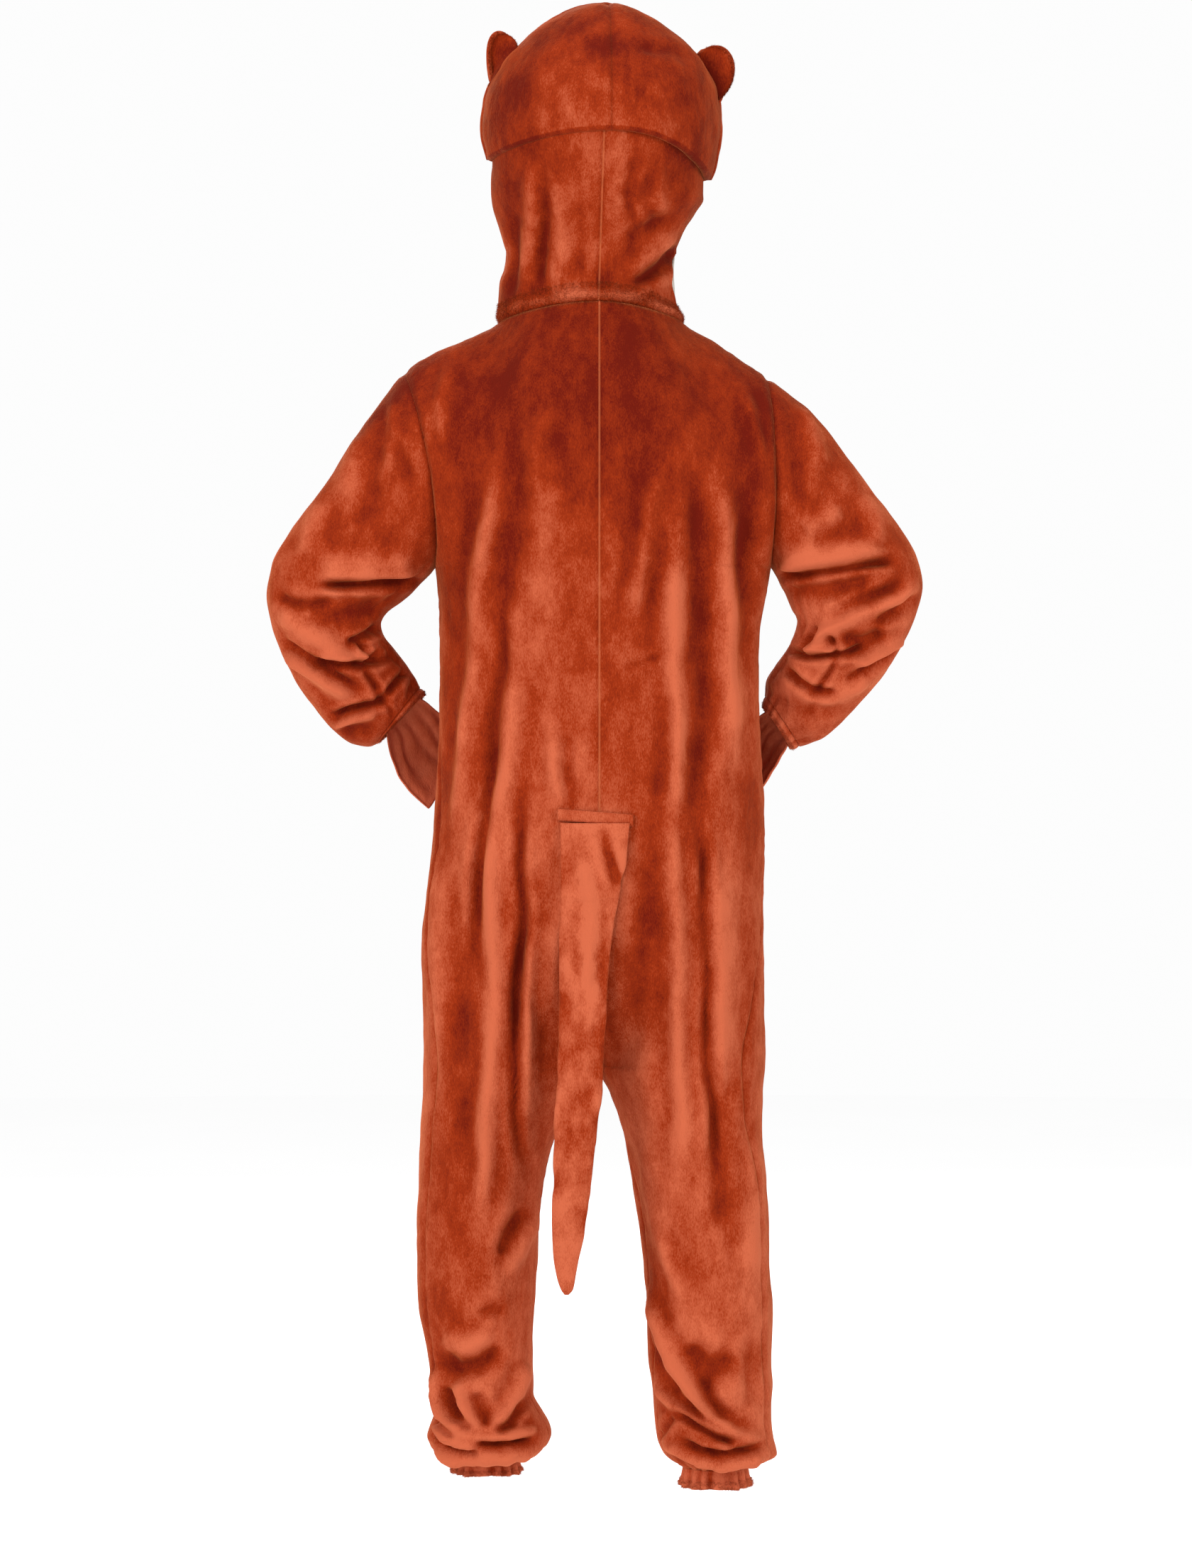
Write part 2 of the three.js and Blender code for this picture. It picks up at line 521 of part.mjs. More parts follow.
// The yoke: a patch between neckline and shoulder seam, centre line, armhole and underarm line.
// across is 0 at the centre line and 1 at the armhole, down is 0 at the top and 1 at the underarm.
function yokePoint(side, back, across, down) {
  const facing = back ? 1 : -1;
  const top = (t) => {
    if (t <= NECK_SHARE) {
      const degrees = facing * 90 * (1 - t / NECK_SHARE);
      return neckPoint(side, degrees, necklineZ(degrees));
    }
    const along = (t - NECK_SHARE) / (1 - NECK_SHARE);
    const start = neckPoint(side, 0, NECK_SIDE_Z);
    const end = sleevePoint(side, 0, 0);
    const bow = SHOULDER_BOW * Math.sin(Math.PI * along);
    return point(mix(start.x, end.x, along), 0, mix(start.z, end.z, along) + bow);
  };
  const bottom = (t) => bodyPoint(side, facing * (1 - t), UNDERARM_Z);
  const centre = (v) => {
    const z = mix(necklineZ(facing * 90), UNDERARM_Z, v);
    return point(0, back ? centreBack(z) : centreFront(z), z);
  };
  const armhole = (v) => sleevePoint(side, 0, facing * 180 * v);
  const corners = [
    { edge: top(0), share: (1 - across) * (1 - down) },
    { edge: top(1), share: across * (1 - down) },
    { edge: bottom(0), share: (1 - across) * down },
    { edge: bottom(1), share: across * down },
  ];
  const result = top(across).multiplyScalar(1 - down);
  result.addScaledVector(bottom(across), down);
  result.addScaledVector(centre(down), 1 - across);
  result.addScaledVector(armhole(down), across);
  for (const corner of corners) result.addScaledVector(corner.edge, -corner.share);
  return result;
}

// Outward normals of a grid of points; facing is 1 where across x down points outwards
function gridNormals(grid, facing, ring) {
  const lastRow = grid.length - 1;
  return grid.map((row, r) =>
    row.map((_, c) => {
      const count = row.length;
      const left = ring ? row[(c + count - 1) % count] : row[Math.max(c - 1, 0)];
      const right = ring ? row[(c + 1) % count] : row[Math.min(c + 1, count - 1)];
      const up = grid[Math.max(r - 1, 0)][c];
      const down = grid[Math.min(r + 1, lastRow)][c];
      const across = right.clone().sub(left);
      return across.cross(down.clone().sub(up)).multiplyScalar(facing).normalize();
    }),
  );
}

// Moves the edges of a grid back from the seams, along the cloth
function seamShifts(grid, edges) {
  const lastRow = grid.length - 1;
  const half = SEAM_GAP / 2;
  return grid.map((row, r) =>
    row.map((here, c) => {
      const shift = point(0, 0, 0);
      const towards = (other) => shift.add(other.clone().sub(here).setLength(half));
      if (edges.includes("top") && r === 0) towards(grid[1][c]);
      if (edges.includes("bottom") && r === lastRow) towards(grid[lastRow - 1][c]);
      if (edges.includes("first") && c === 0) towards(row[1]);
      if (edges.includes("last") && c === row.length - 1) towards(row[c - 1]);
      return shift;
    }),
  );
}

// A closed wall: the grid is its outer face, and the inner face lies one thickness inside.
function wallGeometry(grid, normals, { facing, ring = false, thickness = CLOTH, edges = [] }) {
  const shifts = seamShifts(grid, edges);
  const rows = grid.length;
  const columns = grid[0].length;
  const positions = [];
  for (const depth of [0, thickness]) {
    grid.forEach((row, r) =>
      row.forEach((here, c) => {
        const place = here.clone().add(shifts[r][c]).addScaledVector(normals[r][c], -depth);
        positions.push(place.x, place.y, place.z);
      }),
    );
  }
  const outer = (r, c) => r * columns + (c % columns);
  const inner = (r, c) => rows * columns + outer(r, c);
  const triangles = [];
  // Both faces are split along the same diagonal, so that a twisted quad keeps its thickness
  const quad = (a, b, c, d, outward = true) => {
    if (facing > 0 === outward) triangles.push(a, b, d, b, c, d);
    else triangles.push(a, d, b, b, d, c);
  };
  const spans = ring ? columns : columns - 1;
  for (let c = 0; c < spans; c += 1) {
    for (let r = 0; r < rows - 1; r += 1) {
      quad(outer(r, c), outer(r, c + 1), outer(r + 1, c + 1), outer(r + 1, c));
      quad(inner(r, c), inner(r, c + 1), inner(r + 1, c + 1), inner(r + 1, c), false);
    }
    quad(inner(0, c), inner(0, c + 1), outer(0, c + 1), outer(0, c));
    const end = rows - 1;
    quad(outer(end, c), outer(end, c + 1), inner(end, c + 1), inner(end, c));
  }
  if (!ring) {
    const last = columns - 1;
    for (let r = 0; r < rows - 1; r += 1) {
      quad(inner(r, 0), outer(r, 0), outer(r + 1, 0), inner(r + 1, 0));
      quad(outer(r, last), inner(r, last), inner(r + 1, last), outer(r + 1, last));
    }
  }
  return closedGeometry(positions, triangles);
}

// Triangles that close up at a tip are left out
function closedGeometry(positions, triangles) {
  const key = (i) =>
    positions
      .slice(3 * i, 3 * i + 3)
      .map((value) => Math.round(value * 1000))
      .join(",");
  const kept = [];
  for (let i = 0; i < triangles.length; i += 3) {
    const corners = triangles.slice(i, i + 3);
    if (new Set(corners.map(key)).size === 3) kept.push(...corners);
  }
  const geometry = new THREE.BufferGeometry();
  geometry.setAttribute("position", new THREE.Float32BufferAttribute(positions, 3));
  geometry.setIndex(kept);
  geometry.computeVertexNormals();
  return geometry;
}

const garment = new THREE.Group();

function addPiece(name, geometry, look = PLUSH) {
  const mesh = new THREE.Mesh(geometry, new THREE.MeshStandardMaterial(look));
  mesh.name = name;
  garment.add(mesh);
}

const mirrored = (side, grid) =>
  grid.map((row) => row.map((here) => point(here.x * side.sign, here.y, here.z)));

// Heights of the rows of a body panel below the underarm
function panelHeights(side) {
  const trunk = [-345, -385, -430, -480, -530, -580, -625, -665, SEAT_Z];
  const seat = [18, 36, 54, 72, 90].map((turn) => mix(SEAT_Z, CROTCH_Z, Math.sin(rad(turn))));
  const leg = [-935, -975, -1020, -1075, -1135, -1190, -1235, -1268, -1296, -1318, -1340];
  const hem = [-1355, -1366].map((z) => z + (side.hemTop - HEM_TOP_ROW.left));
  return [...trunk, ...seat, ...leg, ...hem, side.hemTop];
}

function panelShare(side, back, across, z) {
  const start = back ? 1 - side.turn.inseam(z) : -1 - side.turn.inseam(z);
  return mix(start, side.turn.side(z), across);
}

// Folds fade out at the seams that they don't cross
function panelFold(side, here, fade) {
  const face = here.y >= 0 ? "back" : "front";
  const folds = FOLDS.filter((fold) => fold.face === face);
  const hem = smooth((here.z - side.hemTop) / FOLD_HEM_FADE);
  const sides = smooth(Math.abs(here.y) / FOLD_SIDE_FADE);
  return foldHeight(folds, here.x * side.sign, here.z) * sides * hem * fade;
}

function bodyPanel(side, back) {
  const across = steps(back ? BACK_COLUMNS : FRONT_COLUMNS);
  const facing = back ? 1 : -1;
  const yoke = steps(YOKE_ROWS).map((down) => across.map((t) => yokePoint(side, back, t, down)));
  const yokeNormals = gridNormals(yoke, facing, false);
  const lower = panelHeights(side);
  const base = [
    ...yoke,
    ...lower.map((z) => across.map((t) => bodyPoint(side, panelShare(side, back, t, z), z))),
  ];
  const edgeNormal = (r, c, fallback) => {
    if (r >= YOKE_ROWS) {
      const z = base[r][c].z;
      const normal = bodyNormal(side, panelShare(side, back, across[c], z), z);
      return r === base.length - 1 ? flattened(normal, UP) : normal;
    }
    if (c === across.length - 1) return armholeNormal((facing * 180 * r) / YOKE_ROWS);
    const straight = fallback.clone();
    if (c === 0) straight.x = 0;
    if (r === 0 && across[c] >= NECK_SHARE) straight.y = 0;
    return straight.normalize();
  };
  const baseNormals = base.map((row, r) =>
    row.map((here, c) => edgeNormal(r, c, r < yoke.length ? yokeNormals[r][c] : here)),
  );
  const grid = base.map((row, r) =>
    row.map((here, c) => {
      const down = r / YOKE_ROWS;
      const top = smooth(down / YOKE_FADE.down);
      const armhole = smooth((1 - across[c]) / YOKE_FADE.across);
      const fade = r < YOKE_ROWS ? top * armhole : 1;
      return here.clone().addScaledVector(baseNormals[r][c], panelFold(side, here, fade));
    }),
  );
  const normals = gridNormals(grid, facing, false).map((row, r) =>
    row.map((normal, c) => {
      const border = c === 0 || c === across.length - 1 || r === 0 || r === grid.length - 1;
      return border ? baseNormals[r][c] : normal;
    }),
  );
  return { grid, normals, facing };
}

function addBody(side) {
  for (const back of [true, false]) {
    const { grid, normals, facing } = bodyPanel(side, back);
    const geometry = wallGeometry(mirrored(side, grid), mirrored(side, normals), {
      facing: facing * side.sign,
      edges: ["top", "bottom", "first", "last"],
    });
    addPiece(`body_${back ? "back" : "front"}_${side.name}`, geometry);
  }
}

// The lapped strip that hides the way in, made from the front panels' points, moved out
function addPlacket() {
  const panels = SIDES.map((side) => {
    const { grid, normals } = bodyPanel(side, false);
    return { grid: mirrored(side, grid), normals: mirrored(side, normals) };
  });
  const [left, right] = panels.map(({ grid }) =>
    grid
      .filter((row) => row[0].z > PLACKET.bottomZ)
      .map((row) => [row[0], row[0].clone().lerp(row[1], PLACKET.share)]),
  );
  const flat = left.map((row, r) => [right[r][1], row[0], row[1]]);
  flat[0] = flat[0].map((here, c) => here.clone().lerp(flat[1][c], PLACKET.start));
  const normals = flat.map((row, r) => row.map(() => panels[0].normals[r][0].clone()));
  const grid = flat.map((row, r) =>
    row.map((here, c) =>
      here.clone().addScaledVector(normals[r][c], PLACKET.lift + STRIP_THICKNESS),
    ),
  );
  const options = { facing: -1, thickness: STRIP_THICKNESS };
  addPiece("front_placket", wallGeometry(grid, normals, options));
}

function addSleeve(side) {
  const turns = steps(SLEEVE_AROUND).slice(0, -1);
  const stations = steps(SLEEVE_ROWS).map((t) => t * SLEEVE_END);
  const folds = SLEEVE_FOLDS.filter((fold) => fold.side === side.name);
  const base = stations.map((s) => turns.map((turn) => sleevePoint(side, s, 360 * turn)));
  const normals = gridNormals(base, SLEEVE_FACING, true);
  normals[0] = turns.map((turn) => armholeNormal(360 * turn));
  const grid = base.map((row, r) =>
    row.map((here, c) => {
      const top = smooth(stations[r] / SLEEVE_FADE.top);
      const end = smooth((SLEEVE_END - stations[r]) / SLEEVE_FADE.end);
      const depth = smooth(Math.abs(Math.sin(2 * Math.PI * turns[c])) / SLEEVE_FADE.depth);
      const height = foldHeight(folds, here.x, here.z) * top * end * depth;
      return here.clone().addScaledVector(normals[r][c], height);
    }),
  );
  const wallNormals = gridNormals(grid, SLEEVE_FACING, true);
  const axis = sleeveAxis(side, SLEEVE_END);
  wallNormals[0] = normals[0];
  wallNormals[SLEEVE_ROWS] = wallNormals[SLEEVE_ROWS].map((normal) => flattened(normal, axis));
  const geometry = wallGeometry(mirrored(side, grid), mirrored(side, wallNormals), {
    facing: SLEEVE_FACING * side.sign,
    ring: true,
    edges: ["top", "bottom"],
  });
  addPiece(`sleeve_${side.name}`, geometry);
}

// A gathered ring: even waves that grow from the seam to the free edge
function gatheredRing(rows, waves, height, axes, facing) {
  const turns = steps(waves * POINTS_PER_WAVE).slice(0, -1);
  const base = rows.map((place) => turns.map((turn) => place(turn)));
  const normals = gridNormals(base, facing, true).map((row, r) =>
    row.map((normal) => flattened(normal, axes[r])),
  );
  const last = rows.length - 1;
  const grid = base.map((row, r) =>
    row.map((here, c) => {
      const lift = height * Math.cos(2 * Math.PI * turns[c] * waves) * (r / last);
      return here.clone().addScaledVector(normals[r][c], lift);
    }),
  );
  return { grid, normals };
}

function addCuff(side) {
  const stations = steps(2).map((t) => mix(SLEEVE_END, CUFF_END, t));
  const rows = stations.map((station) => (turn) => sleevePoint(side, station, 360 * turn));
  const axes = stations.map((station) => sleeveAxis(side, station));
  const waves = [CUFF_WAVES, CUFF_WAVE_HEIGHT];
  const { grid, normals } = gatheredRing(rows, ...waves, axes, SLEEVE_FACING);
  const geometry = wallGeometry(mirrored(side, grid), mirrored(side, normals), {
    facing: SLEEVE_FACING * side.sign,
    ring: true,
    edges: ["top"],
  });
  addPiece(`cuff_${side.name}`, geometry);
}

function addHem(side) {
  const rows = steps(2).map((t) => {
    const z = mix(side.hemTop, side.hemBottom, t);
    return (turn) => bodyPoint(side, 1 - 2 * turn, z);
  });
  const { grid, normals } = gatheredRing(rows, HEM_WAVES, HEM_WAVE_HEIGHT, [UP, UP, UP], 1);
  const geometry = wallGeometry(mirrored(side, grid), mirrored(side, normals), {
    facing: side.sign,
    ring: true,
    edges: ["top"],
  });
  addPiece(`hem_ruffle_${side.name}`, geometry);
}

// Paw flap: hangs from the front half of the cuff's edge to a squared far end
function addPawFlap(side) {
  const flap = PAW_FLAPS[side.name];
  const low = point(flap.lowX, flap.lowY, flap.lowZ);
  const high = point(flap.highX, flap.highY, flap.highZ);
  const axis = sleeveAxis(side, CUFF_END);
  const grid = steps(PAW_ROWS).map((down) =>
    steps(PAW_COLUMNS).map((across) => {
      const turn = mix(360 - PAW_START, 180 + PAW_START, across);
      const near = sleevePoint(side, CUFF_END, turn).addScaledVector(axis, PAW_GAP);
      const far = low.clone().lerp(high, across);
      const round = Math.sin(Math.PI * across);
      far.z -= PAW_BULGE * round;
      const here = near.lerp(far, down);
      const swell = Math.sin(Math.PI * down);
      here.x += flap.bow * (1 - across) * swell;
      here.y -= PAW_BULGE * PAW_FORWARD * round * swell;
      return here;
    }),
  );
  const normals = gridNormals(grid, 1, false);
  normals[0] = normals[0].map((normal) => flattened(normal, axis));
  const geometry = wallGeometry(mirrored(side, grid), mirrored(side, normals), {
    facing: side.sign,
  });
  addPiece(`paw_flap_${side.name}`, geometry);
}

// Crown: turn 90 is the centre back and 0 the side, lift is the elevation angle
function crownPoint(side, turn, lift) {
  const sine = Math.sin(rad(turn));
  const cosine = lift === 90 ? 0 : Math.cos(rad(lift));
  const shift = CROWN_SEAM_SHIFT * sine * sine * cosine ** CROWN_SHIFT_POWER;
  return point(
    side.crownWidth(lift) * Math.cos(rad(turn)) + (CROWN.x + shift) * side.sign,
    CROWN.back * sine * cosine,
    CROWN.z + CROWN.rise * Math.sin(rad(lift)),
  );
}

function crownSeamZ(side, turn) {
  const sine = Math.max(Math.sin(rad(turn)), 0);
  return mix(CROWN_SEAM_SIDE_Z[side.name], CROWN_SEAM_BACK_Z, sine * sine);
}

function addCrown(side) {
  const grid = steps(CROWN_ROWS).map((up) =>
    steps(CROWN_COLUMNS).map((across) => {
      const turn = 90 * (1 - across);
      const start = Math.asin((crownSeamZ(side, turn) - CROWN.z) / CROWN.rise) / rad(1);
      return crownPoint(side, turn, mix(90, start, up));
    }),
  );
  const normals = gridNormals(grid, 1, false);
  normals[0] = normals[0].map(() => point(0, 0, 1));
  normals.forEach((row) => {
    row[0] = point(0, row[0].y, row[0].z).normalize();
    row[row.length - 1].y = 0;
    row[row.length - 1].normalize();
  });
  const tip = point(1, 1, 0).setLength(SEAM_GAP * CROWN_TIP_ROOM);
  grid[0] = grid[0].map((here) => here.clone().add(tip));
  const geometry = wallGeometry(mirrored(side, grid), mirrored(side, normals), {
    facing: side.sign,
    edges: ["bottom", "first", "last"],
  });
  addPiece(`hood_crown_${side.name}`, geometry);
}

// Brow: runs over the head from cheek to cheek, from the crown to the edge of the face opening
function addBrow() {
  const columns = steps(BROW_COLUMNS);
  const lowest = SIDES.map(({ name }) => (CROWN_SEAM_SIDE_Z[name] - CROWN.z) / CROWN.rise);
  const grid = steps(BROW_ROWS).map((forward) =>
    columns.map((across) => {
      const side = SIDES[across <= 0.5 ? 0 : 1];
      const outward = Math.abs(1 - 2 * across);
      const turn = mix(BROW_TURN_TOP, BROW_TURN_SIDE, outward * outward) * forward;
      const cosine = Math.cos(rad(turn));
      const start = Math.asin(lowest[across <= 0.5 ? 0 : 1] / cosine) / rad(1);
      const lift = mix(90, start, outward);
      const x = side.crownWidth(lift) * side.sign;
      return point(
        CROWN.x + x * cosine,
        -CROWN.front * Math.sin(rad(turn)),
        CROWN.z + CROWN.rise * Math.sin(rad(lift)) * cosine,
      );
    }),
  );
  const normals = gridNormals(grid, 1, false);
  normals[0].forEach((normal) => {
    normal.y = 0;
    normal.normalize();
  });
  const edges = ["top", "first", "last"];
  addPiece("hood_brow", wallGeometry(grid, normals, { facing: 1, edges }));
}

// Height of a throat row where it meets the neck piece of one side
function throatEdgeZ(side, down) {
  let z = mix(CHIN_CORNER_Z, NECK_SIDE_Z, down);
  for (let pass = 0; pass < MEETING_PASSES; pass += 1) {
    z = mix(CHIN_CORNER_Z, necklineZ(side.neckEdge(z)), down);
  }
  return z;
}

// Rows of a neck piece, as shares of the way from the crown seam to the neckline. The lower ones
// meet the rows of the throat piece.
function neckRows(side) {
  const seam = CROWN_SEAM_SIDE_Z[side.name];
  const upper = NECK_UPPER_ROWS.map((share) => mix(seam, CHIN_CORNER_Z, share));
  const lower = steps(THROAT_ROWS).map((down) => throatEdgeZ(side, down));
  return [...upper, ...lower].map((z) => {
    const turn = side.neckEdge(z);
    const top = crownSeamZ(side, turn);
    return (top - z) / (top - necklineZ(turn));
  });
}

// Neck pieces: from the centre back seam round to the face opening and the throat piece
function addNeck(side) {
  const grid = neckRows(side).map((down) =>
    steps(NECK_COLUMNS).map((across) => {
      let z = mix(CROWN_SEAM_BACK_Z, NECK_SIDE_Z, down);
      let turn = 0;
      for (let pass = 0; pass < MEETING_PASSES; pass += 1) {
        turn = mix(90, side.neckEdge(z), across);
        z = mix(crownSeamZ(side, turn), necklineZ(turn), down);
      }
      const here = neckPoint(side, turn, z);
      const sine = Math.max(Math.sin(rad(turn)), 0);
      const seam = mix(NECK_SEAM_SHIFT.top, NECK_SEAM_SHIFT.bottom, down);
      here.x -= seam * side.sign * sine * sine;
      if (down === 0) here.z -= NECK_DROP;
      if (down === 1) here.z += NECK_LIFT;
      return here;
    }),
  );
  const normals = gridNormals(grid, 1, false);
  normals.forEach((row, r) => {
    row[0] = point(0, row[0].y, row[0].z).normalize();
    const { z } = grid[r][row.length - 1];
    row[row.length - 1] = neckNormal(side, side.neckEdge(z), z);
  });
  for (const row of [0, normals.length - 1]) {
    normals[row] = normals[row].map((normal) => flattened(normal, UP));
  }
  const geometry = wallGeometry(mirrored(side, grid), mirrored(side, normals), {
    facing: side.sign,
    edges: ["top", "bottom", "first", "last"],
  });
  addPiece(`hood_neck_${side.name}`, geometry);
}

// Throat: the cream piece between the two neck pieces, from the neckline up to the chin
function addThroat() {
  const [left, right] = SIDES;
  const grid = steps(THROAT_ROWS).map((down) =>
    steps(THROAT_COLUMNS).map((across) => {
      const outward = 1 - 2 * across;
      const top = mix(CHIN_Z, CHIN_CORNER_Z, outward * outward);
      let z = mix(top, NECK_SIDE_Z, down);
      let turn = 0;
      for (let pass = 0; pass < MEETING_PASSES; pass += 1) {
        turn = mix(left.neckEdge(z), -180 - right.neckEdge(z), across);
        z = mix(top, necklineZ(turn), down);
      }
      const side = turn > -90 ? left : right;
      const here = neckPoint(side, side === left ? turn : -180 - turn, z);
      return point(here.x * side.sign, here.y, z + (down === 1 ? NECK_LIFT : 0));
    }),
  );
  const normals = gridNormals(grid, 1, false);
  normals.forEach((row, r) => {
    SIDES.forEach((side, i) => {
      const c = i === 0 ? 0 : row.length - 1;
      const { z } = grid[r][c];
      const normal = neckNormal(side, side.neckEdge(z), z);
      row[c] = point(normal.x * side.sign, normal.y, normal.z);
    });
  });
  normals[THROAT_ROWS] = normals[THROAT_ROWS].map((normal) => flattened(normal, UP));
  const edges = ["bottom", "first", "last"];
  addPiece("hood_throat", wallGeometry(grid, normals, { facing: 1, edges }), CREAM);
}

// Ears: half-round lobes that stand on the crown, thick enough for two layers
function addEar(side) {
  const ear = EARS[side.name];
  const base = (across) => {
    const turn = EAR_TURN + EAR_CUP * Math.sin(Math.PI * across);
    return crownPoint(side, turn, mix(ear.topLift, ear.lowLift, across));
  };
  const along = base(1).sub(base(0));
  const outward = point(-along.z, 0, along.x).normalize();
  const grid = steps(EAR_ROWS).map((up) =>
    steps(EAR_COLUMNS).map((across) => {
      const sine = Math.sin(Math.PI * across ** ear.skew);
      const round = Math.max(sine, EAR_EDGE_HEIGHT) ** EAR_ROUNDNESS;
      const fan = rad(mix(EAR_FAN.top, EAR_FAN.low, across));
      const upwards = outward.clone().applyAxisAngle(point(0, -1, 0), fan);
      const room = ear.gap + EAR_TOP_ROOM * (1 - across);
      const here = base(across).addScaledVector(outward, room);
      here.addScaledVector(upwards, ear.height * round * up);
      here.y += ear.lean * up;
      return here;
    }),
  );
  const normals = gridNormals(grid, -1, false);
  grid.forEach((row, r) =>
    row.forEach((here, c) => here.addScaledVector(normals[r][c], EAR_THICKNESS / 2)),
  );
  const geometry = wallGeometry(mirrored(side, grid), mirrored(side, normals), {
    facing: -side.sign,
    thickness: EAR_THICKNESS,
  });
  addPiece(`ear_${side.name}`, geometry);
}

// Surface of the back panels at a place seen from behind
function backSurface(x, z) {
  const side = SIDES[x >= 0 ? 0 : 1];
  let low = SIDE_SHARE;
  let high = 1;
  for (let pass = 0; pass < HALVINGS; pass += 1) {
    const share = (low + high) / 2;
    if (bodyPoint(side, share, z).x > Math.abs(x)) low = share;
    else high = share;
  }
  const here = bodyPoint(side, low, z);
  return here.y + panelFold(side, here, 1);
}

// The casing strip follows the back panels across the centre seam
function addCasing() {
  const offset = SEAM_GAP + CASING.thick;
  const grid = steps(CASING_ROWS).map((down) =>
    steps(CASING_COLUMNS).map((across) => {
      const x = mix(CASING.left, CASING.right, across);
      const z = mix(CASING.topLeft, CASING.topRight, across) - CASING.height * down;
      return point(x, backSurface(x, z) + offset, z);
    }),
  );
  const normals = grid.map((row) => row.map(() => point(0, 1, 0)));
  const options = { facing: -1, thickness: CASING.thick };
  addPiece("tail_casing", wallGeometry(grid, normals, options));
}

// Tail: a flat filled tube that hangs from the casing over the seat
function addTail() {
  const names = ["left", "right", "thick"];
  const [left, right, thick] = names.map((name) => curveOf(TAIL_SECTIONS, "z", name));
  const first = TAIL_SECTIONS[0].z;
  const last = TAIL_SECTIONS[TAIL_SECTIONS.length - 1].z;
  const positions = [];
  for (let row = 0; row <= TAIL_ROWS; row += 1) {
    const t = row / TAIL_ROWS;
    const crowd = Math.max(t - TAIL_TIP_START, 0) * (1 - t) * TAIL_TIP_CROWDING;
    const z = mix(first, last, t + crowd);
    const half = (left(z) - right(z)) / 2;
    const seat = Math.max(backSurface(left(z), Math.max(z, SEAT_Z)), TAIL_HANG_Y);
    const near = (z > SEAT_Z ? seat : TAIL_HANG_Y) + TAIL_BACK_OFF;
    for (let i = 0; i < TAIL_AROUND; i += 1) {
      const turn = (2 * Math.PI * i) / TAIL_AROUND;
      const swell = signedPower(Math.sin(turn), TAIL_POWER.thick);
      const x = (left(z) + right(z)) / 2 + half * signedPower(Math.cos(turn), TAIL_POWER.wide);
      positions.push(x, near + (thick(z) / 2) * (1 + swell), z);
    }
  }
  const at = (row, i) => row * TAIL_AROUND + (i % TAIL_AROUND);
  const triangles = [];
  for (let i = 0; i < TAIL_AROUND; i += 1) {
    for (let row = 0; row < TAIL_ROWS; row += 1) {
      const corners = [at(row, i), at(row, i + 1), at(row + 1, i + 1), at(row + 1, i)];
      triangles.push(corners[0], corners[3], corners[1], corners[1], corners[3], corners[2]);
    }
  }
  for (let i = 1; i < TAIL_AROUND - 1; i += 1) {
    triangles.push(at(0, 0), at(0, i), at(0, i + 1));
    triangles.push(at(TAIL_ROWS, 0), at(TAIL_ROWS, i + 1), at(TAIL_ROWS, i));
  }
  addPiece("tail", closedGeometry(positions, triangles));
}

for (const side of SIDES) {
  addBody(side);
  addSleeve(side);
  addCuff(side);
  addPawFlap(side);
  addHem(side);
  addCrown(side);
  addNeck(side);
  addEar(side);
}
addPlacket();
addBrow();
addThroat();
addCasing();
addTail();

export default garment;
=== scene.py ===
"""Otter onesie in its worn form: plush panels, sleeves, hood, ears, tail and gathered hems.

Lengths are millimetres until a mesh is made. The back faces +Y and the wearer's left is +X.
Each half is worked out with x growing outwards and mirrored by its sign at the end.
"""
import math

import bpy
import numpy as np
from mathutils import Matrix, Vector


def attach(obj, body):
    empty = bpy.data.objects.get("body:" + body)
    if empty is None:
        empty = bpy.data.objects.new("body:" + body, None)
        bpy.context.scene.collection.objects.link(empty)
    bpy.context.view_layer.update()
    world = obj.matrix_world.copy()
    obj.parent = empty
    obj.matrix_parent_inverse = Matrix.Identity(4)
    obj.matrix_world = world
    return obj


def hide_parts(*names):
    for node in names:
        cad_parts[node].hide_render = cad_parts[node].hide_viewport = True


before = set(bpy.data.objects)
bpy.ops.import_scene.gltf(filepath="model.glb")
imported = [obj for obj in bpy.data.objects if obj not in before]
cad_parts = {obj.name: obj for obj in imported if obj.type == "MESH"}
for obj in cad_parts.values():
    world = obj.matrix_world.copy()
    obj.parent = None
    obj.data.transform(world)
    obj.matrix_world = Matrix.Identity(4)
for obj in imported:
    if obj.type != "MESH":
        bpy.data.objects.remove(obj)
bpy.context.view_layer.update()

MM = 0.001
CLOTH = 1.8

# Heights. They are the solids' own, except for three that were set to their places in the photo:
# the rise of the back neckline (24 in the solids), the left hem (-1394) and the crown's back seam (215).
UNDERARM_Z = -307
SEAT_Z = -700
CROTCH_Z = -901
LEG_START_SHARE = 0.45
NECK_SIDE_Z = -13
NECK_RISE_BACK = 19
NECK_DROP_FRONT = 35

# Section shapes: powers of sine and cosine, 1 is an ellipse and less is squarer
BODY_POWER = 0.8
LEG_POWER = 0.9
SLEEVE_POWER = 0.93


def table(names, *rows):
    """A short table as one array for each column."""
    return dict(zip(names.split(), np.array(rows, float).T))


